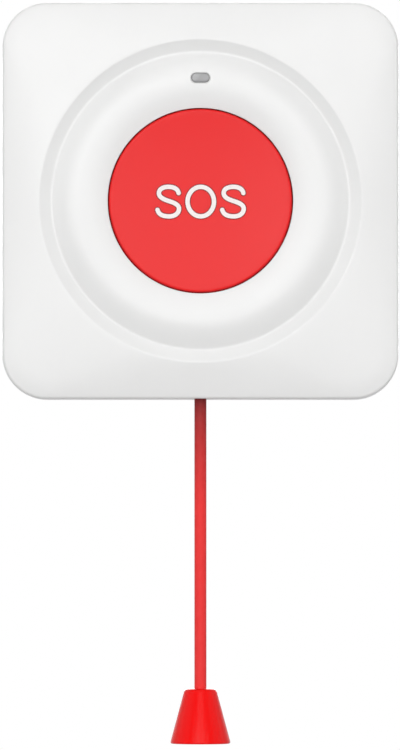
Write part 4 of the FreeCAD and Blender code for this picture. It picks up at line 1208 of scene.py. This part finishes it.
@dataclass
class Button:
    """The dished red cap and the white legend printed on it.

    Attributes:
        radius: The cap's radius.
        rim: The depth of its rim.
        dish: How deep its face is dished.
        edge: How far its rim is rounded.
        flange: The flange's radius and the depths of its rear and its front.
        inner: The radius of the cap's inside.
        roof: The depth of that inside's roof.
        post: The radius of the post that presses the switch, and the depth of its end.
        key: How far its two keys reach out, and half their width.
        rib: How far its cross rib stands out of the roof, and half its thickness.
        peg: The radius of the pegs in its springs, and how far they stand out of the roof.
        root: How far the rib and the pegs go into the roof.
        stroke: The width of the legend's strokes.
        channel: How much further the dark ring round the strokes reaches on each side. It is painted shade in
            place of a groove round the letters.
        ink: How far the print stands out.
        sink: How far its edges lie under the face.
        flatten: How much the round strokes are pressed flat.
        letter_gap: How far apart the letters' middles are.
        oval: The middle letter's reach across and up.
        shift: How far the legend lies across and up.
    """

    radius: float = 19.75
    rim: float = 21.2
    dish: float = 0.7
    edge: float = 0.5
    flange: Triple = (21.5, 15.6, 17.0)
    inner: float = 17.95
    roof: float = 18.3
    post: Pair = (2.6, 16.25)
    key: Pair = (22.7, 1.3)
    rib: Pair = (1.6, 0.6)
    peg: Pair = (1.1, 2.2)
    root: float = 0.8
    stroke: float = 0.98
    channel: float = 0.19
    ink: float = 0.035
    sink: float = 0.04
    flatten: float = 0.3
    letter_gap: float = 6.98
    oval: Pair = (2.85, 3.18)
    shift: Pair = (0.08, -0.2)

    def face_depth(self, radius: float) -> float:
        """Give the dished face's depth at a radius.

        Args:
            radius: The radius in millimetres.

        Returns:
            The depth in millimetres.
        """
        span = self.radius - self.edge
        bowl = (span**2 + self.dish**2) / (2 * self.dish)
        return self.rim - self.dish + bowl - math.sqrt(bowl**2 - min(radius, span) ** 2)

    def cap(self) -> BMesh:
        """Turn the cap and add its keys, rib and pegs.

        Returns:
            The mesh.
        """
        wide, low, high = self.flange
        form = Profile().corner(0, self.rim - self.dish)
        form.arc(self.radius - self.edge, self.rim, 0, steps=26)
        form.corner(self.radius, self.rim - 2 * HAIR, self.edge * 0.9)
        form.corner(self.radius, high).corner(wide, high, 0.1).corner(wide, low, 0.1)
        form.corner(self.inner, low, 0.1).corner(self.inner, self.roof, 0.3)
        form.corner(self.post[0], self.roof, 0.3).corner(*self.post, 0.2).corner(0, self.post[1])
        in_wall = (self.inner + self.radius) / 2
        reach, half = self.key
        keys = [block(mirrored(side, (in_wall, reach)), (low, high - HAIR), (-half, half))
                for side in (1, -1)]
        into = self.roof + self.root
        deep, half = self.rib
        rib = block((-in_wall, in_wall), (self.roof - deep, into), (-half, half))
        pegs = [rod(axis, self.peg[0], (self.roof - self.peg[1], into), 0.2) for axis in PEG_AXES]
        return combined(turned(form, BUTTON_AXIS, 192, closed=False), Joining.UNITE, *keys, rib, *pegs)

    def tube(self, line: Sequence[Vector], half: float, cyclic: bool, steps: int = 7) -> BMesh:
        """Sweep one stroke, with round ends where it has any.

        Args:
            line: The middle of the stroke, across and up, in millimetres.
            half: Half the stroke's width.
            cyclic: Whether the stroke joins up with its start.
            steps: How many straight pieces draw a round end.

        Returns:
            The stroke as a round tube on the flat.
        """
        points = [Vector((point.x, 0, point.y)) for point in line]
        radii = [half] * len(points)
        for _ in range(0 if cyclic else 2):
            end, way = points[-1], (points[-1] - points[-2]).normalized()
            for step in range(1, steps + 1):
                angle = step / steps * math.pi / 2
                points.append(end + way * half * math.sin(angle))
                radii.append(max(half * math.cos(angle), 2 * HAIR))
            points, radii = points[::-1], radii[::-1]
        return swept(points, radii, cyclic)

    def legend(self, half: float, ink: float, bend_steps: int = 18, oval_steps: int = 96) -> BMesh:
        """Lay the three letters of the distress call on the dished face.

        Args:
            half: Half the width of their strokes, in millimetres.
            ink: How far they stand out of the face.
            bend_steps: How many straight pieces draw each bend of the outer letters.
            oval_steps: How many draw the middle letter.

        Returns:
            The mesh.
        """
        curl = [
            ((2.2, 1.85), (2.2, 1.85), (2.0, 2.72)),
            ((0.0, 3.19), (1.25, 3.19), (-1.2, 3.19)),
            ((-2.05, 1.82), (-2.05, 2.66), (-2.05, 0.92)),
            ((0.0, 0.15), (-0.92, 0.45), (0.98, -0.17)),
            ((2.28, -1.52), (2.28, -0.6), (2.28, -2.5)),
            ((0.15, -3.19), (1.42, -3.19), (-1.3, -3.19)),
            ((-2.35, -1.8), (-2.1, -2.72), (-2.35, -1.8)),
        ]
        mesh = bmesh.new()
        for side in (-1, 1):
            line: list[Vector] = []
            for (start, _, leave), (stop, arrive, _) in zip(curl, curl[1:]):
                bend = [Vector((x + side * self.letter_gap, z)) for x, z in (start, leave, arrive, stop)]
                line += [point.copy() for point in interpolate_bezier(*bend, bend_steps)][:-1]
            poured(mesh, self.tube(line + [bend[-1]], half, cyclic=False))
        angles = [TURN * step / oval_steps for step in range(oval_steps)]
        wide, tall = self.oval
        oval = [Vector((wide * math.cos(angle), tall * math.sin(angle))) for angle in angles]
        poured(mesh, self.tube(oval, half, cyclic=True))
        across, up = self.shift
        bmesh.ops.translate(mesh, verts=mesh.verts, vec=(across * MM, 0, up * MM))
        for vertex in mesh.verts:
            radius = math.hypot(vertex.co.x, vertex.co.z) / MM
            lift = min(-vertex.co.y / MM * self.flatten, ink)
            vertex.co.y = -(self.face_depth(radius) + max(lift, -self.sink)) * MM
        return cleaned(mesh)

    def build(self, shop: Workshop) -> None:
        """Build the cap and its legend.

        Args:
            shop: The workshop with the materials.
        """
        shop.piece("button_moulding", self.cap(), Body.BUTTON, "red_plastic", ["button_cap"])
        half = self.stroke / 2
        shop.piece("button_legend", self.legend(half, self.ink), Body.BUTTON, "white_plastic",
                   finish=shop.print)
        # A wider, darker copy of the legend under the print. It is painted shade in place of a groove round
        # the letters.
        shop.piece("legend_painted_outline", self.legend(half + self.channel, self.ink / 3), Body.BUTTON,
                   "red_plastic", finish=shop.channel)


@dataclass
class PlainNodes:
    """The nodes whose shape stays as it is packed, and only gets softened edges.

    Attributes:
        kept: The nodes that other classes build anew or that stay untouched.
        soften: How far an edge is rounded.
        fine: The same for small and thin nodes.
        small: The span below which a node counts as small.
        thin: The nodes made of thin sheet or wire.
        sharp: The angle in degrees from which an edge is rounded.
        mark_place: How far across and up the back plate's ejector marks lie.
        mark: Their radius and depth.
        gate_radii: The radii of the gate's hollow, of its nib's foot and of the nib's top.
        gate_depths: The depths of the hollow and of the nib's top.
        behind: How far behind the rear face the cuts start.
    """

    kept: tuple[str, ...] = ("front_cover", "light_window", "button_cap", "button_springs", "slider_spring",
                             "pull_cord", "cord_knot", "pull_cone", "cord_crimp")
    soften: float = 0.2
    fine: float = 0.06
    small: float = 9.0
    thin: tuple[str, ...] = ("cell_clip", "cell_contact", "antenna_wire", "radio_shield", "board_screws")
    sharp: float = 38.0
    mark_place: Pair = (32.0, 33.0)
    mark: Pair = (2.2, 0.07)
    gate_radii: Triple = (3.0, 0.7, 0.45)
    gate_depths: Pair = (0.35, 0.06)
    behind: float = -0.5

    def softened(self, node: Object) -> BMesh:
        """Copy a node's mesh, merge it and round its crisp edges.

        Args:
            node: The node, which stays as it is.

        Returns:
            The new mesh.
        """
        mesh = bmesh.new()
        mesh.from_mesh(node.data)
        bmesh.ops.transform(mesh, matrix=node.matrix_world, verts=mesh.verts)
        cleaned(mesh)
        bmesh.ops.dissolve_limit(mesh, angle_limit=math.radians(1), verts=mesh.verts, edges=mesh.edges,
                                 delimit={"NORMAL"})
        limit = math.radians(self.sharp)
        crisp = [edge for edge in mesh.edges if edge.is_manifold and edge.calc_face_angle(0) > limit]
        slight = node.name in self.thin or max(node.dimensions) < self.small * MM
        return cleaned(bevelled(mesh, crisp, self.fine if slight else self.soften, 2))

    def marked(self, mesh: BMesh) -> BMesh:
        """Press the moulding's ejector marks and its gate into the back plate's rear face.

        Args:
            mesh: The back plate, which is freed.

        Returns:
            The marked back plate.
        """
        across, up = self.mark_place
        radius, deep = self.mark
        spots = [outward(right * across, top * up) for top in (1, -1) for right in (1, -1)]
        marks = [rod(spot, radius, (self.behind, deep), 0.03) for spot in spots]
        (wide, foot, tip), (floor, top) = self.gate_radii, self.gate_depths
        gate = Profile().corner(0, self.behind).corner(wide, self.behind).corner(wide, floor, 0.2)
        gate.corner(foot, floor, 0.1).corner(tip, top, 0.1).corner(0, top)
        return combined(mesh, Joining.CUT, *marks, turned(gate, BUTTON_AXIS, 48, closed=False))

    def build(self, shop: Workshop) -> None:
        """Build a softened piece for each of these nodes.

        Args:
            shop: The workshop with the materials.
        """
        slots = {row["node"]: row["material_slot"] for row in frame["record"]["subparts"]}
        for body, names in frame["record"]["behaviour"]["bodies"].items():
            for name in names:
                if name in self.kept:
                    continue
                mesh = self.softened(frame["nodes"][name])
                if name == "back_plate":
                    mesh = self.marked(mesh)
                shop.piece(f"{name}_softened", mesh, Body(body), slots[name], [name], self.sharp)


@dataclass
class CoilSpring:
    """One kind of coil spring.

    Attributes:
        name: The piece's name.
        node: The part's node that it stands for.
        mean: Its mean radius.
        wire: The wire's radius.
        turns: How many turns it has.
        span: Where its wire's first and last middle lie along its axis.
        axes: The lines that its springs stand on.
        joint: The joint that squashes it. Not used.
        keep: The share of its length that is left at that joint's limit. Not used.
        turn_steps: How many steps make one turn.
    """

    name: str
    node: str
    mean: float
    wire: float
    turns: int
    span: Pair
    axes: Sequence[Axis]
    joint: str
    keep: float
    turn_steps: int = 30

    def build(self, shop: Workshop) -> None:
        """Wind the springs.

        Args:
            shop: The workshop with the materials.
        """
        mesh = bmesh.new()
        steps = self.turns * self.turn_steps
        for axis in self.axes:
            coil = bmesh.new()
            face_way = axis.along.cross(axis.out).to_track_quat("Z", "Y").to_matrix().to_4x4()
            start = axis.place(self.mean, self.span[0])
            ring = bmesh.ops.create_circle(coil, cap_ends=False, segments=12, radius=self.wire * MM,
                                           matrix=Matrix.Translation(start) @ face_way)
            rise = axis.along * ((self.span[1] - self.span[0]) * MM / steps)
            bmesh.ops.spin(coil, geom=ring["verts"] + coil.edges[:], cent=axis.centre, axis=axis.along,
                           dvec=rise, angle=TURN * self.turns, steps=steps, use_merge=False,
                           use_duplicate=False)
            bmesh.ops.holes_fill(coil, edges=[edge for edge in coil.edges if edge.is_boundary])
            poured(mesh, cleaned(coil))
        piece = shop.piece(self.name, mesh, Body.HOUSING, "steel", [self.node])
        anchor = self.axes[0].place(0, self.span[0] - self.wire)
        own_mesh(piece)


@dataclass
class PullCord:
    """The cord with its knot, and the cone that is gripped.

    Attributes:
        radius: The cord's radius.
        top: The height of its upper end, in its crimp.
        leave: The height at which it leaves the cover.
        foot: The height of its lower end.
        cone: The heights of the cone's top and its rim.
        cone_radii: The cone's radius at its top and at its rim.
        cone_wall: The thickness of its rim.
        cone_roof: The thickness of its top.
        hollow: The radius of its hollow under the top.
        bore: The radius of the hole in the top.
        knot: The knot's top and foot.
        inside: How far inside these the middle of its strand stays.
        strand: The radius of that strand.
        wrap: The radius at which its middle is wrapped round.
        turns: How many turns it makes.
        tuck: The share of it that tucks in at each end.
    """

    radius: float = 1.3
    top: float = -25.0
    leave: float = -43.0
    foot: float = -112.8
    cone: Pair = (-105.4, -117.3)
    cone_radii: Pair = (3.4, 6.6)
    cone_wall: float = 1.5
    cone_roof: float = 1.8
    hollow: float = 3.1
    bore: float = 1.5
    knot: Pair = (-107.2, -111.8)
    inside: float = 1.2
    strand: float = 1.15
    wrap: float = 1.7
    turns: float = 2.2
    tuck: float = 0.09

    def hanging_cord(self, shop: Workshop) -> Object:
        """Hang the cord on one smooth curve.

        Args:
            shop: The workshop with the materials.

        Returns:
            The cord.
        """
        curve = bpy.data.curves.new("cord_line", "CURVE")
        curve.dimensions = "3D"
        heights = (self.top, self.leave, (self.leave + self.foot) / 2, self.foot)
        spline = curve.splines.new("NURBS")
        spline.points.add(len(heights) - 1)
        for knot, height in zip(spline.points, heights):
            knot.co = (*CORD_AXIS.place(0, height), 1)
        spline.order_u = 3
        spline.use_endpoint_u = True
        spline.resolution_u = 24
        curve.bevel_depth = self.radius * MM
        curve.bevel_resolution = 9
        curve.use_fill_caps = True
        curve.materials.append(shop.materials["cord_fibre"])
        return settled(placed("hanging_cord", curve), Body.PULL, ["pull_cord"])

    def tied_knot(self, shop: Workshop, steps: int = 90) -> Object:
        """Wrap the cord's end round itself into a tight knot.

        Args:
            shop: The workshop with the materials.
            steps: How many straight pieces draw its strand.

        Returns:
            The knot.
        """
        high, low = self.knot[0] - self.inside, self.knot[1] + self.inside
        points = []
        for step in range(steps + 1):
            share = step / steps
            angle = share * self.turns * TURN
            away = self.wrap * min(share / self.tuck, (1 - share) / self.tuck, 1.0) ** 0.6
            height = low + (high - low) * (1 - math.cos(TURN * share)) / 2
            points.append(Vector((away * math.cos(angle), -CORD_DEPTH + away * math.sin(angle), height)))
        mesh = swept(points, [self.strand] * len(points), sides=5)
        return shop.piece("tied_knot", mesh, Body.PULL, "cord_fibre", ["cord_knot"], sharp=80)

    def hollow_cone(self, shop: Workshop) -> Object:
        """Turn the hollow cone.

        Args:
            shop: The workshop with the materials.

        Returns:
            The cone.
        """
        (high, low), (top, base) = self.cone, self.cone_radii
        form = Profile().corner(self.bore, high, 0.32).corner(top, high, 0.85)
        form.corner(base, low, 0.6).corner(base - self.cone_wall, low, 0.3)
        form.corner(self.hollow, high - self.cone_roof, 0.5).corner(self.bore, high - self.cone_roof)
        return shop.piece("pull_cone_moulding", turned(form, CORD_AXIS, 128), Body.PULL, "cone_plastic",
                          ["pull_cone"])

    def build(self, shop: Workshop) -> None:
        """Args:
            shop: The workshop with the materials.
        """
        cord, knot, cone = self.hanging_cord(shop), self.tied_knot(shop), self.hollow_cone(shop)
        tuple(CORD_AXIS.place(0, self.leave))


# Studio


@dataclass(frozen=True)
class Lamp:
    """A soft square lamp that points at the part.

    Attributes:
        name: The lamp's name.
        height: The angle in degrees at which it stands above the part.
        turn: The angle in degrees at which it stands to the right of the camera.
        power: Its power in watts.
        size: Its width in metres.
        distance: How far it hangs from the part, in metres.
        aim: The height of the place that it points at, in metres.
    """

    name: str
    height: float
    turn: float
    power: float
    size: float = 1.0
    distance: float = 2.0
    aim: float = -0.03

    def hang(self) -> None:
        """Hang the lamp in its place."""
        light = bpy.data.lights.new(self.name, "AREA")
        light.shape = "SQUARE"
        light.size = self.size
        light.energy = self.power
        up, right = math.radians(self.height), math.radians(self.turn)
        way = Vector((math.cos(up) * math.sin(right), -math.cos(up) * math.cos(right), math.sin(up)))
        holder = placed(self.name, light)
        holder.location = Vector((0, 0, self.aim)) + way * self.distance
        holder.rotation_euler = way.to_track_quat("Z", "Y").to_euler()


LAMPS = (
    Lamp("front_softbox", height=5, turn=0, power=6.3),
    Lamp("left_softbox", height=8, turn=-18, power=8.9),
    Lamp("right_softbox", height=8, turn=18, power=5.7),
    Lamp("upper_softbox", height=34, turn=0, power=5.4),
    Lamp("top_softbox", height=78, turn=0, power=2.7),
    Lamp("left_side_softbox", height=12, turn=-80, power=8.0, size=2.2),
    Lamp("right_side_softbox", height=12, turn=80, power=8.0, size=2.2),
    Lamp("rear_softbox", height=14, turn=180, power=12.0),
)


@dataclass
class Studio:
    """The camera, the background and the floor.

    Attributes:
        distance: How far the camera stands from the cover's front, in metres.
        front: The depth of that front.
        aim: The place across and up that it looks at.
        frame_height: How much of the front it sees from top to bottom.
        far: How far the camera sees, in metres.
        sky: How bright the sky overhead is.
        floor_height: The height of the floor, in metres.
        floor_radius: Its radius, in metres.
        glow: How brightly the floor glows where it is seen, and the share of that glow in its look.
    """

    distance: float = 3.0
    front: float = 20.0
    aim: Pair = (-0.09, -37.6)
    frame_height: float = 161.8
    far: float = 50.0
    sky: float = 0.26
    floor_height: float = -0.5
    floor_radius: float = 2.0
    glow: Pair = (0.95, 0.75)

    def camera(self) -> None:
        """Set up the camera at the photograph's view."""
        lens = bpy.data.cameras.new("camera")
        lens.sensor_width = 36.0
        lens.lens = lens.sensor_width * self.distance / (self.frame_height * MM)
        lens.clip_end = self.far
        holder = placed("camera", lens)
        across, up = self.aim
        holder.location = (across * MM, -self.front * MM - self.distance, up * MM)
        holder.rotation_euler = (math.pi / 2, 0, 0)
        bpy.context.scene.camera = holder

    def world(self) -> None:
        """Surround the part with white for what is seen, and a softer sky for what lights it."""
        world = bpy.data.worlds.new("studio")
        world.use_nodes = True
        bpy.context.scene.world = world
        graph = Graph(world.node_tree)
        graph.nodes.clear()
        ray = graph.add("ShaderNodeLightPath").outputs
        seen = graph.maths("MAXIMUM", ray["Is Camera Ray"], ray["Is Glossy Ray"])
        seen = graph.maths("MAXIMUM", seen, ray["Is Transmission Ray"])
        direction = graph.add("ShaderNodeTexCoord").outputs["Generated"]
        up = graph.add("ShaderNodeSeparateXYZ", Vector=direction).outputs[2]
        strength = graph.between(up, 0.0, self.sky, -1.0, 1.0)
        ambient = graph.add("ShaderNodeBackground", Color=(1, 1, 1, 1), Strength=strength)
        white = graph.add("ShaderNodeBackground", Color=(1, 1, 1, 1))
        shown = graph.mixed(seen, ambient, white).outputs[0]
        graph.feed(graph.add("ShaderNodeOutputWorld").inputs[0], shown)

    def floor(self) -> None:
        """Lay a plain pale floor well below the part. It can be seen through from underneath."""
        mesh = bmesh.new()
        bmesh.ops.create_circle(mesh, cap_ends=True, segments=96, radius=self.floor_radius,
                                matrix=Matrix.Translation((0, 0, self.floor_height)))
        recipe = Recipe("floor_paper")
        tone = recipe.noise(size=300.0, detail=3.0)
        recipe.surface(Base_Color=recipe.blended(tone, (0.5, 0.5, 0.5), (0.48, 0.48, 0.48)), Roughness=0.85)
        ray = recipe.add("ShaderNodeLightPath").outputs
        seen = recipe.maths("MAXIMUM", ray["Is Camera Ray"], ray["Is Glossy Ray"])
        strength, share = self.glow
        glow = recipe.add("ShaderNodeEmission", Strength=strength)
        paper = recipe.mixed(recipe.maths("MULTIPLY", seen, share), recipe.shader, glow)
        underside = recipe.add("ShaderNodeNewGeometry").outputs["Backfacing"]
        floor = recipe.mixed(underside, paper, recipe.add("ShaderNodeBsdfTransparent"))
        output = next(node for node in recipe.nodes if node.type == "OUTPUT_MATERIAL")
        recipe.feed(output.inputs["Surface"], floor.outputs[0])
        data = stored("floor", mesh)
        data.materials.append(recipe.material)
        placed("floor", data)

    def build(self) -> None:
        """Set up the whole studio."""
        self.camera()
        self.world()
        self.floor()
        for lamp in LAMPS:
            lamp.hang()
        bpy.context.scene.view_settings.view_transform = "Standard"


def main() -> None:
    """Dress the part and set up its studio."""
    logging.basicConfig(level=logging.INFO, format="%(name)s: %(message)s")
    shop = Workshop()
    shop.dress_nodes()
    Studio().build()
    button_coils = CoilSpring("button_coils", "button_springs", mean=1.8, wire=0.2, turns=5,
                              span=(10.8, 18.1), axes=PEG_AXES, joint="button_press", keep=0.87)
    slider_coil = CoilSpring("slider_coil", "slider_spring", mean=2.3, wire=0.25, turns=5,
                             span=(-39.55, -32.25), axes=[CORD_AXIS], joint="cord_pull", keep=0.487)
    for maker in (PullCord(), FrontCover(), LightWindow(), Button(), PlainNodes(), button_coils, slider_coil):
        maker.build(shop)


if __name__ == "__main__":
    main()
